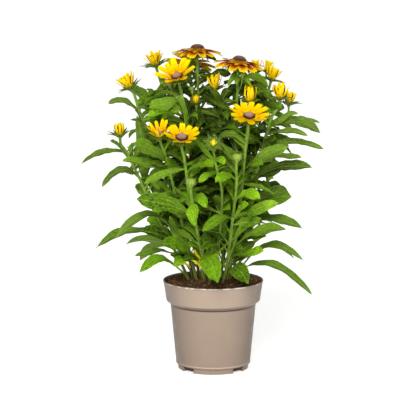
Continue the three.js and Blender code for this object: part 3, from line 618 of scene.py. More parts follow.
# Blooms: at is the top of the green receptacle, axis the way the bloom faces. open is how far a ray rises from
# the bloom's own plane at foot and tip, in degrees; disc is radius and height; bracts are count, length, and
# their rise at foot and tip.
blooms = table(("at", "axis", "rays", "length", "width", "open", "disc", "bracts"), {
    "top_centre": ((-26.5, 12, 538.5), (0.02, -0.06, 1), 14, 31.5, 15, (0, -26), (11.5, 9), (8, 20, -25, -55)),
    "top_right": ((42.5, -34, 522), (0.13, -0.12, 0.98), 14, 32, 15, (0, -30), (11.5, 9.5), (8, 22, -25, -65)),
    "cupped": ((-59, -47, 499), (-0.22, -0.5, 0.84), 12, 27.5, 14, (42, 26), (8, 5), (7, 17, 20, -10)),
    "upper_left": ((-97, 30, 514), (-0.25, -0.1, 0.96), 11, 23, 8, (54, 62), (0, 0), (8, 23, 20, 0)),
    "far_left": ((-139, 0, 479), (-0.45, -0.1, 0.88), 11, 24, 8, (56, 62), (0, 0), (7, 22, 20, 5)),
    "left_bud": ((-155, -40, 403), (-0.1, -0.1, 0.98), 9, 21, 6.5, (62, 108), (0, 0), (7, 20, 30, 20)),
    "mid_left": ((-88, -74, 407), (-0.1, -0.42, 0.9), 10, 22, 8, (56, 50), (6, 4), (7, 15, 15, -5)),
    "mid_front": ((-51.5, -107, 405), (0.03, -0.48, 0.88), 12, 22, 9.5, (38, 24), (9, 5), (8, 15, 0, -20)),
    "mid_right": ((58, -87, 438), (0.05, -0.47, 0.88), 13, 25, 11, (28, 12), (8.5, 5), (8, 16, -10, -30)),
    "small_right": ((60, -40, 460), (0, -0.2, 0.98), 10, 26, 7.5, (56, 112), (0, 0), (7, 15, 25, 5)),
    "centre": ((3, -8, 478), (-0.08, -0.1, 0.99), 10, 23, 7.5, (60, 80), (0, 0), (7, 19, 20, 5)),
    "curled": ((-29, -20, 455), (-0.1, -0.3, 0.95), 8, 13, 5, (60, 118), (0, 0), (7, 11, 40, 20)),
    "star": ((0, -108, 396), (0, -0.75, 0.66), 8, 11, 5, (58, 112), (0, 0), (9, 17, 25, 5)),
    "back_pair_left": ((73.5, 60, 501), (-0.1, 0.05, 0.99), 8, 19, 6, (72, 76), (0, 0), (6, 12, 20, 0)),
    "back_pair_right": ((92, 64, 501), (0.2, 0.1, 0.97), 8, 18, 6, (72, 70), (0, 0), (6, 12, 20, 0)),
    "right_tall": ((98.5, 34, 490), (0.25, 0, 0.97), 11, 21, 7.5, (54, 76), (0, 0), (8, 23, 10, -10)),
    "far_right": ((111, -16, 463), (0.03, -0.1, 0.99), 11, 24, 7.5, (56, 80), (0, 0), (7, 18, 15, -5)),
    "right_edge": ((128, 30, 449), (0.1, 0.05, 0.99), 9, 21, 7, (62, 82), (0, 0), (7, 21, 20, 5)),
    "behind_top": ((-38, 78, 513), (0.08, 0.5, 0.86), 11, 34, 14, (2, -16), (9, 10), (8, 17, -25, -50)),
    "back_left": ((-66, 122, 322), (-0.25, 0.62, 0.74), 10, 30, 13, (18, 0), (8.5, 8), (7, 16, -10, -30)),
    "back_middle": ((-4, 142, 352), (-0.05, 0.62, 0.78), 10, 33, 13, (16, -6), (9, 10), (7, 16, -15, -35)),
    "back_right": ((64, 124, 338), (0.2, 0.5, 0.84), 10, 33, 13, (12, -10), (9, 11), (7, 16, -15, -35)),
})

# Green buds, each a ball of closed bracts: at is its foot
buds = table(("at", "axis", "radius"), {
    "front_bud": ((-36.5, -119, 331), (0, -0.35, 0.94), 6.5),
    "right_bud": ((38, -109, 371), (0.05, -0.3, 0.95), 6),
    "side_bud": ((-73, -34, 486), (-0.4, 0.1, 0.9), 4),
    "low_bud": ((96, 104, 310), (0.3, 0.3, 0.9), 6),
})

# Smaller ones, too slight for the solid model
tinyBuds = table(("at", "axis", "radius"), {
    "tip_bud": ((-36, -24, 477), (-0.2, -0.2, 0.95), 3.2),
    "small_bud": ((48, -44, 502), (0.1, -0.3, 0.9), 2.4),
    "twin_bud": ((-82, -30, 488), (-0.5, 0, 0.85), 3.0),
})

heads = {**blooms, **buds, **tinyBuds}

# How each bloom's colours go: share of a ray that is mahogany, and the age of the disc, 0 fresh and 1 old
rayTones = {
    "top_centre": (0.6, 1.0), "top_right": (0.64, 1.0), "behind_top": (0.6, 0.8), "star": (-0.4, 0),
    "cupped": (0.2, 0.15), "mid_right": (0.16, 0.1), "mid_front": (0.16, 0.1), "mid_left": (0.22, 0.2),
    "back_right": (0.6, 0.6),
}
usualTone = (0.3, 0.3)
closedTone = (0.46, 0.3)
closedFrom = 40             # rays that rise by more degrees than this leave a bloom closed


def isClosed(bloom):
    return bloom["open"][0] > closedFrom


def plateRadius(bloom):
    return 1.07 * bloom["disc"][0] + 0.8 if bloom["disc"][0] else 1.5 + 0.13 * bloom["length"]


def onHead(parts, head):
    # parts made round the z axis, turned the way a bloom or bud faces and put in its place
    turn = Vector((0, 0, 1)).rotation_difference(Vector(head["axis"]).normalized())
    turn, at = np.array(turn.to_matrix()), np.array(head["at"], float)
    return [{**part, "places": part["places"] @ turn.T + at} for part in parts]


def sameNumbers(seed):
    # the repeatable numbers of the solid model, so each ray and bract has the length and bend it has there
    while True:
        seed = (seed * 1664525 + 1013904223) % 4294967296
        yield seed / 4294967296


def petalRows(head, petal, t):
    # the centre line of a blade that leaves the rim with one slope and turns to another at its tip
    first, last = math.radians(petal["rise"]), math.radians(petal["end"])
    slope = first + (last - first) * t
    out = head["radius"] + petal["length"] * (np.sin(slope) - math.sin(first)) / (last - first)
    over = head["rim"] - petal["length"] * (np.cos(slope) - math.cos(first)) / (last - first)
    return slope, out, over


def petalPart(head, petal, turn, look, skin, extra, tint):
    # turn counts in petals round the head
    rows, cols = look["rows"], look["cols"]
    across = np.linspace(-1, 1, cols + 1)[None, :] * np.ones((rows + 1, 1))
    share = np.linspace(0, 1, rows + 1)[:, None] * np.ones((1, cols + 1))
    notch = look["notch"] * sum(np.exp(-((across - spot) / 0.11) ** 2) for spot in petal.get("notches", ()))
    t = share * (1 - look["tipRound"] * np.abs(across) ** 2.4 - notch * share ** 6)
    slope, out, over = petalRows(head, petal, t)
    wide = petal["width"] / 2 * look["shape"](t)
    sector = math.pi / head["count"] * look["overlap"]
    lift = head["hollow"] * wide * np.abs(across) ** 1.5
    half = np.minimum(wide, np.maximum(0.5, out - lift * np.sin(slope)) * math.tan(min(sector, 1.2)))
    ridge = look["ridge"] * np.cos(3 * np.pi * across) * np.sin(np.pi * np.clip(share, 0, 1)) ** 0.5
    lift = lift + ridge + petal.get("twist", 0.0) * across * share ** 2 * half + petal.get("layer", 0.0)
    side = across * half + petal.get("sway", 0.0) * share ** 2
    thick = look["thick"] * (1 - across ** 4) * np.clip(1 - share ** 6, 0, 1) + 1e-3
    angle = 2 * math.pi * turn / head["count"]

    def spot(rise):
        radial = out - rise * np.sin(slope)
        x, y = math.cos(angle), math.sin(angle)
        return np.stack([radial * x - side * y, radial * y + side * x, over + rise * np.cos(slope)], -1)

    return bladePart(spot(lift), spot(lift - thick), t, across, side, tint, extra, skin)


# Rays: gap is the room under the plate that holds a ring together, and over it

rays = {
    "gap": 0.35, "plate": 1.4, "closedWidth": 0.8, "curledWidth": 0.62, "curledFrom": 100, "closedEnd": 74,
    "yellow": hue(252, 204, 2), "lemon": hue(255, 226, 8), "under": hue(244, 210, 18),
    "orange": hue(232, 120, 4), "green": hue(190, 180, 30), "youngest": hue(236, 232, 60),
    "mahogany": hue(142, 44, 4), "deep": hue(74, 18, 6),
}


def rayShape(t):
    # a ray's width along its length, as a share of the widest
    rise = np.sin(np.pi * (0.08 + 0.8 * np.minimum(t, 0.525)))
    return np.where(t < 0.525, rise, 1 - 0.2 * np.clip((t - 0.525) / 0.475, 0, 1) ** 2.4)


def strapShape(t):
    rise = 0.62 + 0.38 * np.sin(np.pi * t / 0.6)
    return np.where(t < 0.3, rise, 1 - 0.25 * np.clip((t - 0.3) / 0.7, 0, 1) ** 2)


openLook = {
    "shape": rayShape, "rows": 12, "cols": 10, "tipRound": 0.1, "notch": 0.085, "thick": 0.5, "ridge": 0.22,
    "overlap": 1.12,
}
closedLook = {**openLook, "shape": strapShape, "tipRound": 0.12, "notch": 0.03}


def rayFinish():
    petal = Finish("rayFloret")
    along, across, offset = petal.read("where")
    tint, below, bicolor = petal.read("tone")
    fine = petal.noise(3, 3)
    streak = petal.math("COSINE", offset * 5.5) * 0.045
    petal.color = petal.mix(petal.smooth(along, 0.3, 0.9), rays["yellow"], rays["lemon"])
    petal.paint(tint * 0.14, rays["orange"])
    petal.paint((streak + 0.045) * 1.6, rays["orange"])
    margin = petal.math("POWER", abs(across), 2.0) * 0.22
    reach = along + margin + (fine * 0.3 + streak * 2.4) - (bicolor + 0.15)
    brown = petal.smooth(reach, 0.04, -0.12)
    strength = petal.smooth(bicolor, 0.1, 0.5, 0.6, 1.0)
    petal.paint(petal.smooth(reach, 0.2, 0.0) * strength, rays["orange"])
    petal.paint(brown * strength, rays["mahogany"])
    petal.paint(petal.smooth(reach, -0.12, -0.4) * petal.smooth(bicolor, 0.1, 0.4), rays["deep"])
    pale = petal.mix(petal.smooth(along, 0.5, 0.0, 0.0, 0.5), rays["under"], rays["green"])
    pale = petal.mix(brown * petal.smooth(bicolor, 0.5, 0.58, 0.0, 0.8), pale, rays["orange"])
    petal.paint(below * 0.8, pale)
    petal.paint(petal.smooth(bicolor, -0.02, -0.3, 0.0, 0.75), rays["youngest"])
    petal.surface(0.75, 0.02)
    petal.bump(petal.math("COSINE", offset * 7.0) * 0.5 + fine, 0.16, 0.6)
    return petal


def makeRays(finish):
    for index, (name, bloom) in enumerate(blooms.items()):
        count, length, width = bloom["rays"], bloom["length"], bloom["width"]
        rise, end = bloom["open"]
        closed, young, radius = isClosed(bloom), name == "star", plateRadius(bloom)
        draw, same = repeatable(50 + index), sameNumbers(700 + index)
        look = closedLook if closed else openLook
        head = {"radius": radius, "rim": rays["gap"] + rays["plate"] / 2, "count": count}
        head["hollow"] = 0.3 if closed else 0.16
        extent, _ = rayTones.get(name, closedTone if closed else usualTone)
        narrow = 1 if not closed else rays["curledWidth"] if end > rays["curledFrom"] else rays["closedWidth"]
        parts = []
        for i in range(count):
            layer = (1 if i % 2 else -1) * (5 if closed else 2)
            petal = {
                "length": length * (0.9 + 0.2 * next(same)),
                "width": width * (0.9 + 0.2 * next(same)) * narrow,
                "rise": rise + layer, "end": end + layer + 0.5 + 14 * (next(same) - 0.5),
                "notches": (-0.4, 0.4), "sway": draw.normal() * 0.9, "twist": draw.normal() * 0.16,
                "layer": 0.3 if i % 2 else -0.1,
            }
            turn = i + 0.06 * draw.normal()
            parts.append(petalPart(head, petal, turn, look, 0, extent, (0.3 if young else 1) * draw.random()))
        if closed and not bloom["disc"][0]:      # younger rays inside, still rolled
            bent = max(end, rays["closedEnd"])
            inside = {**head, "radius": 0.68 * radius, "count": count + 2, "hollow": 0.5}
            for i in range(count + 2):
                petal = {
                    "length": length * draw.uniform(0.7, 0.96), "width": 0.64 * width,
                    "rise": min(rise + 10, 84), "end": bent + draw.uniform(-6, 16),
                    "sway": draw.normal() * 0.6,
                }
                parts.append(petalPart(inside, petal, i + 0.5, look, 0, extent + 0.12, draw.random()))
            spine = {"length": 0.7 * length, "rise": rise, "end": bent}
            _, out, over = petalRows(head, spine, np.linspace(0, 1, 7))
            core = lathePart([(0.01, 0.6), *zip(0.8 * out, over + 0.5), (0.01, over[-1] + 1)], 14, 0.5, 0)
            core["where"][:, 0], core["tone"][:, 2] = (1, -0.4) if young else (0, 1)
            parts.append(core)
        spine = {"length": length, "rise": rise, "end": end}
        _, (near, far), (low, high) = petalRows(head, spine, np.array([0.1, 0.24]))
        plate = [
            (0.01, 0.4), (0.6 * radius, 0.5), (radius, 0.8), (near, low - 0.2), (far, high - 0.15),
            (far, high + 0.1), (near, low + 0.25), (radius, 1.25), (0.6 * radius, 1.7), (0.01, 1.75),
        ]
        parts.append(lathePart(plate, 20, 0.5, 0))
        makePiece(f"bloom_{name}", onHead(parts, bloom), [finish], f"rays_{name}")


# Discs: florets in a spiral over a dome, open ones with pollen at its foot

discs = {
    "spacing": 1.35, "sides": 5, "floret": [(1.0, -0.6), (1.1, 0.35), (0.7, 0.8), (0.05, 1.0)],
    "ripe": [               # from the foot to the top
        (0.0, hue(238, 170, 20)), (0.15, hue(222, 146, 24)), (0.26, hue(96, 58, 36)),
        (0.55, hue(112, 86, 72)), (1.0, hue(152, 128, 114)),
    ],
    "fresh": [
        (0.0, hue(84, 42, 22)), (0.22, hue(56, 26, 20)), (0.36, hue(128, 84, 70)),
        (0.5, hue(188, 146, 132)), (1.0, hue(208, 172, 158)),
    ],
}


def domePoint(bloom, share):
    # share 0 is the dome's foot and 1 its apex
    radius, height = bloom["disc"]
    angle = (0.06 + 0.94 * share) * (math.pi / 2)
    return radius * np.cos(angle) ** 0.8, height * np.sin(angle)


def discFinish(name, stops):
    disc = Finish(name)
    fleck, _, share = disc.read("tone")
    middle = stops[2][1]
    disc.color = disc.ramp(share, stops)
    disc.paint(fleck * 0.25, dimmed(middle, 0.45))
    # painted shade: each floret, and the dome beneath, darker at the foot, where shade falls between the
    # florets
    disc.paint(disc.smooth(disc.read("where")[0], 0.5, 0.0, 0.0, 0.6), dimmed(middle, 0.3))
    disc.surface(0.8, 0.2)
    disc.bump(disc.noise(0.5, 3), 0.2, 0.6)
    return disc


def makeDiscs():
    ripe, fresh = discFinish("ripeCone", discs["ripe"]), discFinish("freshDisc", discs["fresh"])
    shape = lathePart(discs["floret"], discs["sides"], 0, 0)
    for index, (name, bloom) in enumerate(blooms.items()):
        wide = bloom["disc"][0]
        if not wide:
            continue
        draw = repeatable(80 + index)
        shares = np.linspace(0, 1, 400)
        r, h = domePoint(bloom, shares)
        bands = 2 * np.pi * r * np.hypot(np.gradient(r), np.gradient(h))
        area = np.concatenate([[0], np.cumsum(bands[1:])])
        count = int(area[-1] / discs["spacing"] ** 2)
        share = np.interp((np.arange(count) + 0.5) / count * area[-1], area, shares)
        turn = np.arange(count) * math.pi * (3 - math.sqrt(5))
        radius, height = domePoint(bloom, share)
        (r0, h0), (r1, h1) = (domePoint(bloom, np.clip(share + step, 0, 1)) for step in (-0.01, 0.01))
        frames = framesFor(unit(around(h1 - h0, turn, r0 - r1) + 1e-9), turn)
        opened = np.exp(-((share - 0.08) / 0.09) ** 2)
        thin, long = 0.62 - 0.12 * opened, 1.15 + 1.5 * opened + 0.25 * draw.random(count)
        tones = tonesFor(draw.random(count), np.clip(share + 0.05 * draw.normal(size=count), 0, 1))
        spots, sizes = around(radius, turn, height), np.stack([thin, thin, long], -1)
        florets = scattered((shape["places"], shape["quads"]), spots, frames, sizes, tones, 0)
        r, h = domePoint(bloom, np.linspace(0, 1, 12))
        line = [(0.01, -0.2), (0.92 * wide, -0.2), *zip(np.maximum(0.97 * r, 0.01), 0.97 * h)]
        core = lathePart(line, 24, 1.0, 0, (-0.2, 1))
        for part in (core, florets):
            part["places"] = part["places"] + [0, 0, 2 * rays["gap"] + rays["plate"]]
        finish = ripe if rayTones.get(name, usualTone)[1] > 0.5 else fresh
        makePiece(f"cone_{name}", onHead([core, florets], bloom), [finish], f"disc_{name}", 60)


# Stems: radius, root where one leaves the soil, the places it passes on its way up, and its bloom or bud
stems = table(("radius", "root", "through", "head"), {
    "top_centre": (2.3, (-9, 12), [(-18, 10, 330), (-25.5, 12, 473)], "top_centre"),
    "top_right": (2.3, (13, 9), [(27, -6, 300), (38.5, -22, 431)], "top_right"),
    "cupped": (2.4, (-18, -8), [(-29, -22, 270), (-38.8, -34, 375), (-47, -40, 444)], "cupped"),
    "upper_left": (2.5, (-24, 17), [(-48, 22, 317), (-73.7, 28, 436)], "upper_left"),
    "far_left": (2.5, (-34, 4), [(-64.6, 4, 286), (-106.8, 2, 396), (-123.7, 0, 439)], "far_left"),
    "left_bud": (2.5, (-42, -12), [(-89, -28, 256), (-140.5, -38, 367)], "left_bud"),
    "mid_left": (2.3, (-28, -18), [(-55, -52, 270), (-75, -65, 360)], "mid_left"),
    "mid_front": (2.4, (-14, -26), [(-38.2, -78, 298), (-46.2, -92, 364)], "mid_front"),
    "mid_right": (2.5, (22, -15), [(44.4, -60, 295), (53.9, -75, 398)], "mid_right"),
    "centre": (2.5, (4, -7), [(13, -14, 290), (14.7, -13, 374), (9.7, -9, 450)], "centre"),
    "star": (2, (3, -24), [(14.5, -76, 298), (5, -92, 356)], "star"),
    "front_bud": (2.4, (-5, -37), [(-16.9, -66, 201), (-28.2, -94, 259), (-34.6, -110, 303)], "front_bud"),
    "right_bud": (2.2, (16, -36), [(21.3, -44, 178), (31, -76, 261), (37.4, -97, 320)], "right_bud"),
    "back_pair": (2.4, (24, 30), [(50, 38, 300), (66, 50, 400), (72, 58, 468)], "back_pair_left"),
    "right_tall": (2.4, (34, 16), [(60, 22, 320), (80, 32, 420)], "right_tall"),
    "far_right": (
        3, (28, -1), [(36.7, -8, 236), (61.9, -14, 305), (85.5, -16, 390), (99, -17, 434)], "far_right",
    ),
    "behind_top": (2.4, (-14, 31), [(-24, 42, 300), (-34, 56, 400)], "behind_top"),
    "back_left": (2.4, (-36, 29), [(-48, 56, 220), (-60, 94, 280)], "back_left"),
    "back_middle": (2.4, (-2, 46), [(-3, 74, 230), (-4, 108, 300)], "back_middle"),
    "back_right": (2.4, (14, 42), [(28, 70, 225), (48, 98, 288)], "back_right"),
    "side_right": (2.4, (42, 32), [(58, 52, 215), (80, 84, 262)], "low_bud"),
})

# Branches leave a stem at a height and end in a bloom or a bud of their own, named first
branches = table(("stem", "from", "radius", "through"), {
    "curled": ("top_centre", 398, 1.7, [(-27, -15, 428)]),
    "small_right": ("mid_right", 372, 1.8, [(58, -56, 412)]),
    "back_pair_right": ("back_pair", 425, 1.7, [(86, 62, 462)]),
    "right_edge": ("far_right", 420, 1.8, [(113, 16, 428)]),
    "side_bud": ("cupped", 446, 1.4, [(-62, -42, 466)]),
})

# Thinner ones for the buds that are too slight for the solid model
sprigs = table(("stem", "from", "radius", "through"), {
    "tip_bud": ("top_centre", 436, 1.1, [(-31, -12, 456)]),
    "small_bud": ("top_right", 470, 0.9, [(46, -36, 486)]),
    "twin_bud": ("cupped", 440, 1.0, [(-68, -36, 464)]),
})

# Leaves by stem: height of the foot, tip, width, arch, roll in degrees, share that is stalk
leaves = {
    "top_centre": [(300, (-52, 34, 330), 18, 8, 0, 0.08)],
    "cupped": [(414, (-57, -66, 472), 12, 3, 0, 0.05), (430, (-27, -56, 436), 8, 4, 0, 0.05)],
    "upper_left": [
        (430, (-152, 46, 474), 22, 5, 15, 0.05), (424, (-125, -30, 450), 17, 4, 10, 0.05),
        (445, (-114, 62, 470), 13, 4, 0, 0.05), (170, (-150, 40, 205), 18, 26, 0, 0.25),
    ],
    "far_left": [
        (438, (-175, -10, 453), 13, 10, 0, 0.05), (388, (-132, 36, 438), 13, 3, 0, 0.05),
        (340, (-120, 44, 352), 18, 8, 0, 0.06), (320, (-138, -20, 388), 17, 8, 20, 0.06),
    ],
    "left_bud": [
        (228, (-195, -60, 217), 15, 21, 0, 0.12), (158, (-122, -90, 181), 14, 26, 15, 0.3),
        (362, (-170, -52, 396), 13, 3, 0, 0.05), (374, (-218, -50, 357), 12, 10, 0, 0.05),
        (332, (-184, -60, 320), 13, 20, 10, 0.05), (336, (-106, -10, 290), 15, 4, 0, 0.05),
        (232, (-112, -4, 256), 17, 5, 10, 0.1), (200, (-131, -62, 203), 11, 6, 0, 0.2),
        (300, (-128, 14, 430), 15, 6, 0, 0.06),
    ],
    "mid_left": [
        (362, (-129, -108, 395), 24, 6, 25, 0.06), (344, (-149, -80, 366), 17, 5, 10, 0.08),
        (194, (-118, -100, 253), 26, 10, 20, 0.2), (211, (-160, -112, 243), 14, 47, 0, 0.2),
        (186, (-66, -92, 192), 14, 8, 0, 0.25),
    ],
    "mid_front": [
        (192, (-84, -110, 232), 21, 10, 10, 0.2), (303, (-10, -112, 293), 15, 8, 0, 0.08),
        (306, (-85, -112, 311), 10, -9, 0, 0.06), (353, (-113, -122, 333), 10, 6, 20, 0.05),
        (214, (-40, -92, 224), 12, 6, 0, 0.2),
    ],
    "mid_right": [
        (337, (120, -110, 393), 20, 6, 25, 0.06), (172, (56, -102, 165), 22, 14, 0, 0.22),
        (214, (116, -90, 253), 18, 12, 15, 0.18), (256, (108, -80, 295), 14, 9, 55, 0.08),
        (238, (64, -66, 273), 22, 6, 30, 0.14),
    ],
    "centre": [
        (246, (1, -62, 304), 34, 4, 0, 0.16), (376, (-42, -60, 393), 13, 5, 15, 0.05),
        (436, (39, -50, 378), 13, 10, 0, 0.05), (440, (0, -54, 484), 19, 3, 0, 0.05),
        (450, (50, -32, 488), 10, 3, 0, 0.05),
    ],
    "star": [
        (222, (-21, -120, 226), 22, 10, 0, 0.2), (348, (-24, -113, 334), 10, 4, 0, 0.05),
        (372, (19, -116, 365), 10, 3, 0, 0.05),
    ],
    "front_bud": [
        (207, (6, -134, 173), 27, 13, 0, 0.14), (276, (-125, -126, 309), 24, 6, 20, 0.1),
        (298, (-31, -134, 266), 17, 7, 0, 0.1),
    ],
    "right_bud": [
        (303, (76, -120, 308), 17, 8, 10, 0.08), (268, (57, -110, 297), 17, 4, 15, 0.08),
        (270, (-18, -130, 257), 14, 8, 0, 0.08), (338, (3, -126, 336), 15, 8, 0, 0.06),
        (358, (14, -96, 394), 12, 3, 0, 0.05),
    ],
    "back_pair": [(385, (100, 84, 410), 16, 6, 0, 0.05)],
    "right_tall": [(385, (65, 4, 418), 16, 4, 0, 0.05), (330, (104, 62, 352), 20, 10, 0, 0.06)],
    "far_right": [
        (262, (129, -68, 305), 34, 8, 20, 0.26), (168, (150, -60, 196), 14, 32, 0, 0.2),
        (160, (165, -40, 135), 15, 34, 0, 0.22), (182, (84, -58, 212), 16, 5, 20, 0.3),
        (176, (57, -30, 207), 12, 4, 30, 0.2), (248, (148, -58, 249), 17, 15, 0, 0.16),
        (446, (67, -12, 484), 13, 4, 0, 0.05), (444, (78, 12, 479), 10, 3, 0, 0.05),
        (424, (180, 12, 418), 7, 7, 0, 0.05), (418, (179, -30, 405), 18, 12, 0, 0.2),
        (402, (157, -36, 402), 10, 6, 0, 0.05), (374, (105, -42, 399), 16, 4, 0, 0.05),
        (378, (185, -8, 376), 11, 11, 10, 0.08), (352, (146, -62, 368), 12, 7, 0, 0.1),
        (326, (164, -52, 350), 17, 12, 25, 0.08), (318, (102, 14, 301), 17, 6, 0, 0.05),
    ],
    "back_left": [(160, (-128, 96, 168), 20, 34, 0, 0.3)],
    "back_middle": [(160, (-30, 158, 172), 22, 34, 0, 0.3)],
    "back_right": [(160, (60, 150, 162), 20, 34, 0, 0.3)],
    "side_right": [(160, (140, 92, 172), 20, 32, 0, 0.3)],
}

# Stems at the back that carry the same leaves in a spiral, thinning out upwards
spiralStems = table(("from", "to", "first"), {
    "back_left": (205, 290, 150),
    "back_middle": (200, 310, 60),
    "back_right": (195, 300, 120),
    "side_right": (190, 280, 20),
    "behind_top": (225, 450, 100),
})

# A leaf stands at the first of these that was free: degrees round, degrees up, share of its reach
bends = [
    (0, 0, 1), (6, 0, 1), (-6, 0, 1), (0, 6, 1), (0, -6, 1), (10, 6, 1), (-10, 6, 1), (10, -6, 1),
    (-10, -6, 1), (0, 12, 1), (0, -12, 1), (16, 0, 1), (-16, 0, 1),
    (16, 10, 0.95), (-16, 10, 0.95), (16, -10, 0.95),
    (-16, -10, 0.95), (24, 4, 0.92), (-24, 4, 0.92), (0, 20, 0.92), (0, -20, 0.92), (24, 16, 0.88),
    (-24, 16, 0.88), (34, 6, 0.85), (-34, 6, 0.85), (34, -12, 0.8), (-34, -12, 0.8), (46, 12, 0.8),
    (-46, 12, 0.8), (0, 34, 0.8),
]

leaf = {
    "step": 44, "turn": 137.5, "reach": 88, "shrink": 0.13,      # the spiral
    "near": 0.2,            # how near to its tip the solid model must have a corner
    "spread": 1.38, "lean": 26, "backFrom": 20, "stalkHalf": 1.0, "fold": 0.28, "snake": 0.018,
    "jag": 0.04, "wideJag": 0.09, "teeth": 0.42, "wave": 0.085, "ruffle": 0.045, "quilt": 0.026,
    "inside": 1.15, "ageing": 0.017,        # painted shade: how much darker a leaf is deep in the clump; and how much darker with each millimetre of width
    "dark": hue(34, 60, 6), "mid": hue(98, 143, 12), "bright": hue(122, 176, 8), "young": hue(154, 206, 26),
    "below": hue(98, 130, 34), "rib": hue(164, 186, 72), "margin": hue(160, 180, 84),
    "stale": hue(240, 212, 40), "greyish": hue(92, 113, 50),
}

# Leaves inside the clump: the ones the solid model has, then smaller ones between them
inner = {
    "start": 172, "swing": 80, "step": 78, "belowHead": 48, "reach": 84, "shortest": 36, "width": 0.28,
    "clump": [(150, 48), (200, 84), (250, 104), (330, 128), (400, 134), (460, 126), (500, 80)],
}

# How far out the filling leaves reach at each height, and the clump's depth as a share of its width
bush = [
    (150, 40), (180, 62), (215, 84), (260, 110), (320, 140), (380, 150), (430, 150), (465, 140), (500, 108),
    (524, 40),
]
bushDepth = 0.86

filling = {
    "start": 162, "step": 7.5, "belowHead": 22, "tries": 24, "reach": (44, 94), "width": (0.24, 0.38),
    "rise": (-0.45, 0.9), "lowBelow": 225, "lowRise": (0.7, 2.2), "lowest": 158,
    "clear": 5,             # how far a leaf keeps from a bloom, and from the view of it
    "viewSlope": 0.156,     # the camera's
    "front": 0.5,           # how far to the front one may reach, as a share of the clump's radius
    "screen": {             # by stem: foot, tip, width, arch, roll
        "right_tall": [
            ((59, 22, 320), (116, 66, 330), 24, 5, 50), ((62, 23, 330), (88, 70, 352), 24, 5, 50),
            ((60, 22, 325), (112, 60, 346), 20, 5, 50),
        ],
        "centre": [
            ((12.5, -11, 410), (20, 18, 374), 18, 4, 0), ((14.6, -13, 385), (-24, -6, 428), 20, 6, -20),
            ((13, -12, 398), (36, -18, 434), 16, 5, 20),
        ],
        "top_centre": [
            ((-25, 10, 530), (6, -3, 523), 13, 3, 30), ((-27, 11, 529), (-42, -4, 518), 9, 3, -30),
        ],
        "top_right": [
            ((41, -31, 508), (24, -52, 486), 10, 4, -30), ((42, -32, 507), (60, -50, 487), 11, 4, 30),
            ((41, -33, 505), (38, -58, 488), 10, 4, 0), ((41, -30, 500), (57, -22, 478), 10, 4, 20),
        ],
    },
    "yellowed": {
        "mid_front": [
            ((-21, -45, 194), (-36, -64, 215), 6, 2, 20), ((-19, -42, 180), (-37, -60, 196), 6, 2, 20),
        ],
        "mid_left": [((-38, -34, 180), (-62, -60, 192), 6, 2, 20)],
    },
}

stem = {
    "sides": 10, "twigSides": 8, "step": 5, "soilTop": 150, "rootDepth": 30, "neck": (16, 2.5),
    # low is the painted shade of a stem low in the clump
    "green": hue(114, 150, 36), "shade": hue(82, 116, 24), "low": hue(58, 86, 20), "flush": hue(132, 96, 56),
    "hair": hue(182, 202, 106), "hairSpacing": 2.3, "hairLength": 1.3, "bractHair": 1.0,
}

bract = {
    "dark": hue(48, 80, 18), "light": hue(94, 130, 38), "bud": hue(188, 214, 88), "width": 7.2,
    "under": [              # shift in bracts, height, share of the length, width
        (0.5, -2.6, 0.8, 5.2), (0.27, -1.8, 0.6, 4.0), (0.73, -1.8, 0.64, 4.0),
    ],
    "budRings": [           # count, length, width, rise, end, shift, paleness
        (7, 2.0, 0.95, 55, 125, 0.0, 0.35), (7, 1.75, 0.95, 62, 132, 0.5, 0.6),
        (8, 1.2, 0.45, 30, 20, 0.25, 0.2),
    ],
}

leafSkin, stemSkin, bractSkin, hairSkin = range(4)      # which of a stem's finishes a part has


def curvePoint(points, t):
    # a smooth curve through the points
    spans = len(points) - 1
    i = min(int(t * spans), spans - 1)
    w = t * spans - i
    p1, p2 = points[i], points[i + 1]
    p0 = points[i - 1] if i else 2 * p1 - p2
    p3 = points[i + 2] if i + 2 <= spans else 2 * p2 - p1
    t0, t1 = 0.5 * (p2 - p0), 0.5 * (p3 - p1)
    return p1 + w * (t0 + w * ((-3 * p1 + 3 * p2 - 2 * t0 - t1) + w * (2 * p1 - 2 * p2 + t0 + t1)))


def rootPoints(row):
    return [np.array([*row["root"], stem["soilTop"] + z], float) for z in (-stem["rootDepth"], 4.0)]


def stemPoints(row, head, start):
    at, axis = np.array(head["at"], float), unit(np.array(head["axis"], float))
    neck = [at - axis * reach for reach in stem["neck"]]
    return [*start, *(np.array(p, float) for p in row["through"]), *neck]


def pointAtHeight(points, height):
    low, high = 0.0, 1.0
    for _ in range(40):
        middle = (low + high) / 2
        if curvePoint(points, middle)[2] < height:
            low = middle
        else:
            high = middle
    return curvePoint(points, low)


def stemLine(points):
    fine = np.array([curvePoint(points, t) for t in np.linspace(0, 1, 160)])
    length = np.concatenate([[0], np.cumsum(np.linalg.norm(np.diff(fine, axis=0), axis=1))])
    even = np.linspace(0, length[-1], max(4, int(length[-1] / stem["step"])))
    return np.stack([np.interp(even, length, fine[:, k]) for k in range(3)], -1)


def bentTip(base, tip, bend):
    turn, lift, reach = bend
    way = turnAbout((tip - base) * reach, up, math.radians(turn))
    level = unit(np.array([-way[1], way[0], 0.0]))
    return turnAbout(way, level, -math.radians(lift)) + base


def leafHalfWidth(one, t):
    blade = np.maximum(0, (t - one["stalk"]) / (1 - one["stalk"]))
    swell = np.maximum(np.sin(np.pi * blade ** 1.1), 0) ** 0.62
    return leaf["stalkHalf"] + (one["width"] / 2 - leaf["stalkHalf"]) * swell


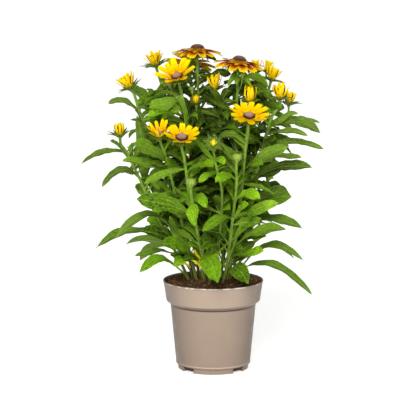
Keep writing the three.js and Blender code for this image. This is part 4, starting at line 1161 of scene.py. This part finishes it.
def leafPart(one, draw, rows, cols):
    # an arched blade on its stalk, folded along the midrib, with a wavy and toothed margin
    base, tip, width = one["base"], one["tip"], one["width"]
    middle = (base + tip) / 2 + up * 2 * one["arch"]
    t = np.linspace(0, 1, rows + 1)[:, None]
    line = (1 - t) ** 2 * base + 2 * t * (1 - t) * middle + t ** 2 * tip
    ways = unit(2 * (1 - t) * (middle - base) + 2 * t * (tip - middle))
    level = unit(np.array([base[1] - tip[1], tip[0] - base[0], 0.0]))
    angle = math.radians(one["roll"]) + one.get("twist", 0.0) * t ** 1.5
    side = level * np.cos(angle) + np.cross(ways, level) * np.sin(angle)
    normal = np.cross(ways, side)
    size = np.linalg.norm(tip - base)
    phase = draw.random(2) * 6
    bulge = np.sin(np.pi * t)
    line = line + side * one["snake"] * size * np.sin(2 * np.pi * t + phase[0]) * bulge
    line = line + normal * 0.6 * one["snake"] * size * np.sin(9 * t + phase[1]) * bulge
    across = np.linspace(-1, 1, cols + 1)[None] * np.ones((rows + 1, 1))
    outer, left = np.abs(across), np.sign(across)
    taper = np.clip((1 - t) * 12, 0, 1)
    half = leafHalfWidth(one, t) * (0.12 + 0.88 * taper ** 0.6)
    tooth = 0.5 + 0.5 * np.sin(2 * np.pi * (t * width * leaf["teeth"] + draw.random(2)[0]))
    wave = leaf["wave"] * width * t * np.sin(10.5 * t + 1.4 * left + width)
    ruffle = np.sin(draw.uniform(20, 34) * t + 2.1 * left + 6 * draw.random())
    ruffle = leaf["ruffle"] * width * ruffle * bulge
    quilt = leaf["quilt"] * width * np.sin(2 * np.pi * (t * 7 - outer * 1.3)) * np.sin(np.pi * outer) * bulge
    rise = half * math.sin(one["fold"]) * outer ** 1.3 + (wave + ruffle) * outer ** 2
    out = half * across * (1 - one["jag"] * tooth * outer ** 6) * math.cos(one["fold"])
    top = line[:, None] + side[:, None] * out[..., None] + normal[:, None] * (rise + quilt)[..., None]
    keel = np.exp(-(out / 1.5) ** 2) * (1.7 * (1 - t) + 0.35)
    thick = (0.55 * (1 - across ** 4) + keel * (1 - across ** 4)) * taper + 1e-3
    under = top - normal[:, None] * thick[..., None]
    return bladePart(top, under, t * np.ones_like(across), across, out, one["tone"], one["stale"], leafSkin)


def leafFinish():
    blade = Finish("softLeaf")
    along, across, offset = blade.read("where")
    tint, below, stale = blade.read("tone")
    out, cloud = abs(across), blade.noise(14, 4)
    shade = tint + ((cloud - 0.5) * 0.6 + (blade.noise(4.2, 3) - 0.5) * 1.1)
    greens = zip((0.0, 0.45, 0.8, 1.0), (leaf[key] for key in ("dark", "mid", "bright", "young")))
    blade.color = blade.ramp(shade, list(greens))
    blade.paint(blade.smooth(blade.noise(3.2, 4), 0.4, 0.75, 0.0, 0.25), leaf["dark"])
    # leaves at the sides painted greyer, in patches
    grey = blade.smooth(stale, 0.0, -1.0) * blade.smooth(blade.noise(6, 3), 0.3, 0.65, 0.5, 0.9)
    blade.paint(grey, leaf["greyish"])
    # the midrib, side veins in pairs, and one that bows along each half
    middle = blade.smooth(abs(offset), 0.95, 0.25)
    pairs = blade.math("PINGPONG", along * 7.0 - out * 2.4 + blade.noise(9, 2) * 0.5, 0.5)
    fine = blade.smooth(pairs, 0.075, 0.0) * blade.smooth(out, 0.98, 0.7)
    trunk = abs(out - blade.math("SINE", along * 3.0) * 0.5)
    lateral = blade.smooth(trunk, 0.07, 0.0) * blade.smooth(along, 0.9, 0.5)
    veins = blade.highest(fine * 0.5, lateral * 0.75)
    ribs = blade.highest(veins, middle)
    blade.paint(veins * 0.6, leaf["rib"])
    blade.paint(middle * 0.5, leaf["rib"])
    blade.paint(below * 0.72, blade.mix(ribs * 0.6, leaf["below"], leaf["rib"]))
    # the pale margin: partly the paler green of the hairy edge, partly a painted highlight where light catches
    # its hairs
    blade.paint(blade.smooth(out, 0.9, 1.0, 0.0, 0.55), leaf["margin"])
    blade.paint(blade.highest(stale, 0.0) * blade.smooth(blade.noise(7, 3), 0.25, 0.45), leaf["stale"])
    blade.surface(blade.smooth(cloud, 0.3, 0.7, 0.5, 0.62), 0.1)
    blade.bump(blade.smooth(blade.cells(1.6), 0.0, 0.25) * 0.6 - ribs, 0.5, 0.8)
    return blade


def stemFinish():
    bark = Finish("hairyStem")
    _, groove, height = bark.read("where")
    bark.color = bark.mix(bark.smooth(bark.noise(9, 4), 0.35, 0.7), stem["green"], stem["shade"])
    # painted shade: the stem darker low down, where the clump shades it
    bark.paint(bark.smooth(height, 340.0, 180.0, 0.0, 0.6), stem["low"])
    foot = bark.smooth(height, 215.0, 150.0, 0.0, 0.5) * bark.smooth(bark.noise(5, 3), 0.3, 0.6)
    bark.paint(foot, stem["flush"])
    bark.paint(bark.smooth(bark.math("COSINE", groove * 9.0), 0.2, 1.0) * 0.35, stem["hair"])
    # painted sheen: the stem paler towards its outline, where its hairs catch the light
    bark.paint(bark.smooth(bark.facing(), 0.45, 0.95, 0.0, 0.6), stem["hair"])
    bark.surface(0.6, 0.2)
    bark.bump(bark.noise(0.8, 3), 0.25, 0.6)
    return bark


def bractFinish():
    green = Finish("bristlyBract")
    out, young = abs(green.read("where")[1]), green.read("tone")[2]
    green.color = green.mix(green.smooth(green.noise(2.5, 3), 0.35, 0.7), bract["dark"], bract["light"])
    green.paint(young, bract["bud"])
    # the pale edges of the bracts: partly their own paler green, partly a painted highlight where light catches
    # the hairs
    green.paint(green.smooth(out, 0.6, 1.0, 0.0, 0.5), leaf["margin"])
    green.paint(green.smooth(out, 0.2, 0.0, 0.0, 0.35), leaf["rib"])
    green.surface(0.6, 0.2)
    green.bump(green.noise(0.7, 3), 0.2, 0.6)
    return green


def hairFinish():
    hair = Finish("paleHair")
    hair.color = hair.mix(hair.smooth(hair.noise(4, 2), 0.3, 0.7), stem["hair"], leaf["rib"])
    hair.surface(0.5)
    return hair


def bractShape(t):
    return (1 - 0.88 * t ** 2.2) * (0.8 + 0.2 * np.sin(np.pi * np.clip(t * 1.4, 0, 1)))


def budShape(t):
    return np.sin(np.pi * (0.25 + 0.62 * t))


bractLook = {
    "shape": bractShape, "rows": 9, "cols": 4, "tipRound": 0.0, "notch": 0.0, "thick": 0.9, "ridge": -0.06,
    "overlap": 1.0,
}
budLook = {**bractLook, "shape": budShape, "rows": 10, "cols": 6, "ridge": 0.0, "overlap": 1.25}


def bractParts(bloom, index, draw):
    count, length, rise, end = bloom["bracts"]
    same, radius = sameNumbers(300 + index), 0.94 * plateRadius(bloom)
    head = {"radius": radius, "rim": -0.9, "hollow": 0.12, "count": count}
    parts = []
    for i in range(count):
        petal = {
            "length": length * (0.85 + 0.3 * next(same)), "width": bract["width"], "rise": rise,
            "end": end + 0.5 + 16 * (next(same) - 0.5), "twist": draw.normal() * 0.2,
            "sway": draw.normal() * 0.8,
        }
        parts.append(petalPart(head, petal, i, bractLook, bractSkin, 0.0, draw.random()))
    for shift, rim, share, width in bract["under"]:
        lower = {**head, "rim": rim, "radius": radius * 0.9}
        for i in range(count):
            petal = {
                "length": length * share * (0.85 + 0.3 * draw.random()), "width": width, "rise": rise + 8,
                "end": end + 14 + 26 * (draw.random() - 0.5), "twist": draw.normal() * 0.3,
                "sway": draw.normal() * 0.6,
            }
            parts.append(petalPart(lower, petal, i + shift, bractLook, bractSkin, 0.0, draw.random()))
    cup = [(0.01, -6.2), (2.6, -6), (0.75 * radius, -3.6), (radius, -1.1), (0.97 * radius, -0.2)]
    return parts + [lathePart([*cup, (0.01, 0.05)], 20, 0.5, bractSkin)]


def budParts(bud, draw):
    size, parts = bud["radius"], []
    for ring, (count, length, width, rise, end, shift, pale) in enumerate(bract["budRings"]):
        head = {"radius": 0.8 * size * (1 - 0.12 * ring), "rim": 0.2 * size, "hollow": 0.1, "count": count}
        for i in range(count):
            petal = {
                "length": length * size * (0.95 + 0.1 * draw.random()), "width": width * size, "rise": rise,
                "end": end + 12 * (draw.random() - 0.5), "twist": draw.normal() * 0.12,
            }
            parts.append(petalPart(head, petal, i + shift, budLook, bractSkin, pale, draw.random()))
    upper = [(r * size, h * size) for r, h in ((0.84, 0.5), (0.66, 1.3), (0.35, 1.62))]
    core = [(0.01, -5.2), (2.4, -5), (0.7 * size, -1), *upper, (0.01, 1.7 * size)]
    return parts + [lathePart(core, 18, 0.5, bractSkin, (-0.6, 1.6))]


def radiusAt(outline, height):
    return np.interp(height, *zip(*outline))


def leafRows(curves):
    # the leaves of each stem: foot, tip, width, arch, roll, stalk
    rows = {name: [] for name in stems}
    for name, listed in leaves.items():
        for height, tip, *form in listed:
            rows[name].append((pointAtHeight(curves[name], height), np.array(tip, float), *form))
    for name, spiral in spiralStems.items():
        turn = spiral["first"]
        for height in range(spiral["from"], spiral["to"], leaf["step"]):
            reach = leaf["reach"] - leaf["shrink"] * (height - spiral["from"])
            base = pointAtHeight(curves[name], height)
            way = unit(np.array([math.cos(math.radians(turn)), math.sin(math.radians(turn)), 0.45]))
            rows[name].append((base, base + way * reach, 0.24 * reach, 0.12 * reach, 0, 0.1))
            turn += leaf["turn"]
    for index, name in enumerate(n for n in stems if n not in spiralStems):
        same = sameNumbers(500 + index)
        top = heads[stems[name]["head"]]["at"][2] - inner["belowHead"]
        for height in np.arange(inner["start"] + 3 * index, top, inner["step"]):
            base = pointAtHeight(curves[name], height)
            turn = math.atan2(base[1], base[0]) + math.radians(inner["swing"] * (2 * next(same) - 1))
            way = unit(np.array([math.cos(turn), math.sin(turn), 0.22]))
            reach, tip = inner["reach"], base + way * inner["reach"]
            while np.hypot(*tip[:2]) > radiusAt(inner["clump"], tip[2]) and reach > inner["shortest"]:
                reach *= 0.9
                tip = base + way * reach
            if reach > inner["shortest"]:
                rows[name].append((base, tip, inner["width"] * reach, 0.11 * reach, 0, 0.1))
    return rows


def foundLeaf(row, corners):
    # the leaf as the solid model has it: its tip is a corner of the stem's own mesh
    base, tip, width, arch, roll, stalk = row
    outwards = 1 if tip[1] < leaf["backFrom"] else -1
    for bend in bends:
        end = bentTip(base, tip, bend)
        if corners.find(Vector(end * scale))[2] < leaf["near"] * scale:
            return {
                "base": base, "tip": end, "width": width * leaf["spread"], "arch": arch, "stalk": stalk,
                "roll": outwards * np.sign(tip[0] - base[0]) * (leaf["lean"] + roll),
            }
    return None


def bloomRooms():
    # the room each bloom takes in the view: place, half width, how far it goes below and above
    rooms = []
    for bloom in blooms.values():
        length = bloom["length"]
        face = (0.34 + 0.7 * max(0.0, -bloom["axis"][1])) * length
        if bloom["at"][1] < 100:
            size = (length * 0.55, 7, length) if isClosed(bloom) else (length, face, face + 6)
            rooms.append((bloom["at"], *size))
    for bud in {**buds, **tinyBuds}.values():
        rooms.append((bud["at"], bud["radius"] + 8, 8, 3 * bud["radius"]))
    return rooms


def hidesBloom(one, rooms):
    # whether a leaf stands in a bloom or in front of it, seen from the camera's height
    clear, slope = filling["clear"], filling["viewSlope"]
    middle = (one["base"] + one["tip"]) / 2 + up * one["arch"]
    for spot in (one["tip"], (one["tip"] + middle) / 2, middle, (one["base"] + middle) / 2):
        for (x, y, z), half, below, above in rooms:
            seen = (spot[2] + slope * spot[1]) - (z + slope * y)
            inside = abs(spot[0] - x) < half + clear and -below - clear < seen < above + clear
            if inside and spot[1] < y + half:
                return True
    return False


def fillingLeaves(name, points, rooms, draw):
    # small leaves that fill the clump round a stem, each at its own angle
    made = []
    top = heads[stems[name]["head"]]["at"][2] - filling["belowHead"]
    height = filling["start"] + 20 * draw.random()
    while height < top:
        base, low = pointAtHeight(points, height), height < filling["lowBelow"]
        for k in range(filling["tries"]):
            turn = draw.random() * 2 * math.pi
            reach = draw.uniform(*filling["reach"])
            reach = reach * (1.1 - 0.35 * (height - 160) / 300) * (1 - 0.5 * k / filling["tries"])
            slope = draw.uniform(*filling["lowRise" if low else "rise"])
            tip = base + unit(np.array([math.cos(turn), math.sin(turn), slope])) * reach
            one = {
                "base": base, "tip": tip, "width": draw.uniform(*filling["width"]) * reach,
                "arch": reach * draw.uniform(0.02, 0.2),
                "stalk": draw.uniform(0.3, 0.5) if low else draw.uniform(0.04, 0.2),
                "roll": draw.normal() * 35, "twist": draw.normal() * 0.7, "fold": draw.uniform(0.1, 0.6),
                "snake": draw.uniform(0.01, 0.05),
            }
            room = radiusAt(bush, tip[2])
            within = np.hypot(tip[0], tip[1] / bushDepth) < room and tip[1] > -filling["front"] * room
            if within and tip[2] > filling["lowest"] and not hidesBloom(one, rooms):
                made.append(one)
                break
        thinning = 1 - 0.4 * np.clip((height - 330) / 110, 0, 1)
        height += filling["step"] * draw.uniform(0.5, 1.4) * thinning * (1.6 if low else 1)
    for kind, look in (("screen", {}), ("yellowed", {"stale": 1.0})):
        for foot, end, width, arch, roll in filling[kind].get(name, ()):
            one = {"base": np.array(foot, float), "tip": np.array(end, float), "width": width, "arch": arch}
            made.append({**one, "stalk": 0.05, "roll": roll, "fold": 0.3, "snake": 0.03, **look})
    return made


def cornersOf(node):
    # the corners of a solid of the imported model, for finding the nearest one
    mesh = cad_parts[node].data
    tree = KDTree(len(mesh.vertices))
    for vertex in mesh.vertices:
        tree.insert(vertex.co, vertex.index)
    tree.balance()
    return tree


def toneAt(tip, draw):
    # painted light: leaves in front are lighter and those at the sides darker, as light falls on the clump;
    # young ones near the top are lighter too
    front = np.clip((-tip[1] - 30) / 110, -0.5, 1)
    aside = np.clip((abs(tip[0]) - 100) / 80, 0, 1)
    spread = 0.27 * (1 - 0.6 * aside)
    tone = 0.73 + 0.04 * front - 0.36 * aside + 0.2 * (tip[2] - 300) / 200 + spread * draw.normal()
    return float(np.clip(tone, 0.04, 0.95))


def greyerAt(tip, draw):
    # the outer leaves at the sides are greyer than those in front
    aside = np.clip((abs(tip[0]) - 80) / 60, 0, 1)
    return float(-(0.25 + 0.75 * aside) * draw.random() ** (1 - 0.6 * aside))


def clumpShaded(part):
    # painted shade: a leaf is darker where it is deep in the clump, where the clump shades it
    x, y, z = part["places"].T
    depth = np.hypot(x, y / bushDepth) / radiusAt(bush, z)
    part["tone"][:, 0] = np.clip(part["tone"][:, 0] - leaf["inside"] * np.clip(1 - depth, 0, 1), 0, 1)
    return part


def makeStems():
    finishes = [leafFinish(), stemFinish(), bractFinish(), hairFinish()]
    curves = {name: stemPoints(row, heads[row["head"]], rootPoints(row)) for name, row in stems.items()}
    rows, rooms, missing = leafRows(curves), bloomRooms(), 0
    for index, (name, row) in enumerate(stems.items()):
        draw = repeatable(200 + index)
        node = f"leafy_stem_{name}"
        corners, points = cornersOf(node), curves[name]
        line, ends = stemLine(points), [row["head"]]
        radii = row["radius"] * np.linspace(1.06, 0.92, len(line))
        parts = [tubePart(line, radii, stem["sides"], 0.5, stemSkin)]
        for end, branch in {**branches, **sprigs}.items():
            if branch["stem"] == name:
                twig = stemLine(stemPoints(branch, heads[end], [pointAtHeight(points, branch["from"])]))
                radii = np.full(len(twig), branch["radius"])
                parts.append(tubePart(twig, radii, stem["twigSides"], 0.5, stemSkin))
                ends.append(end)
        spacing = stem["hairSpacing"]
        hairs = [h for part in parts for h in hairsOn(part, spacing, stem["hairLength"], 0.7, draw)]
        for end in ends:
            head = heads[end]
            made = bractParts(head, list(blooms).index(end), draw) if end in blooms else budParts(head, draw)
            made = onHead(made, head)
            parts += made
            hairs += [h for part in made for h in hairsOn(part, spacing, stem["bractHair"], 0.9, draw)]
        for one in rows[name]:
            found = foundLeaf(one, corners)
            if found is None:
                missing += 1
                continue
            width = found["width"]
            tone = toneAt(found["tip"], draw) - leaf["ageing"] * max(0, width - 20)
            found.update(tone=max(tone, 0.05), stale=greyerAt(found["tip"], draw), snake=leaf["snake"])
            found.update(jag=leaf["wideJag" if width > 18 else "jag"])
            found.update(twist=0.3 * np.sign(found["roll"]) + 0.22 * draw.normal())
            found.update(fold=leaf["fold"] * draw.uniform(0.5, 1.3))
            grid = (24, 10) if width > 27 else (18, 8) if width > 16 else (14, 6)
            parts.append(clumpShaded(leafPart(found, draw, *grid)))
        for small in fillingLeaves(name, points, rooms, draw):
            tip = small["tip"]
            grid = (13, 6) if np.hypot(tip[0], tip[1]) / radiusAt(bush, tip[2]) > 0.8 else (10, 4)
            stale = 0.9 if tip[2] < 200 and draw.random() < 0.06 else greyerAt(tip, draw)
            small = {"stale": stale, "tone": toneAt(tip, draw), "jag": leaf["jag"], **small}
            parts.append(clumpShaded(leafPart(small, draw, *grid)))
        makePiece(f"stem_{name}", parts + hairs, finishes, node)
    print("leaves not in the solid model:", missing)


print("stage: camera, light and floor")
makeCamera()
makeLights()
makeFloor()
print("stage: pot and soil")
makePot()
makeSoil()
print("stage: rays and discs")
makeRays(rayFinish())
makeDiscs()
print("stage: stems, leaves, bracts and buds")
makeStems()
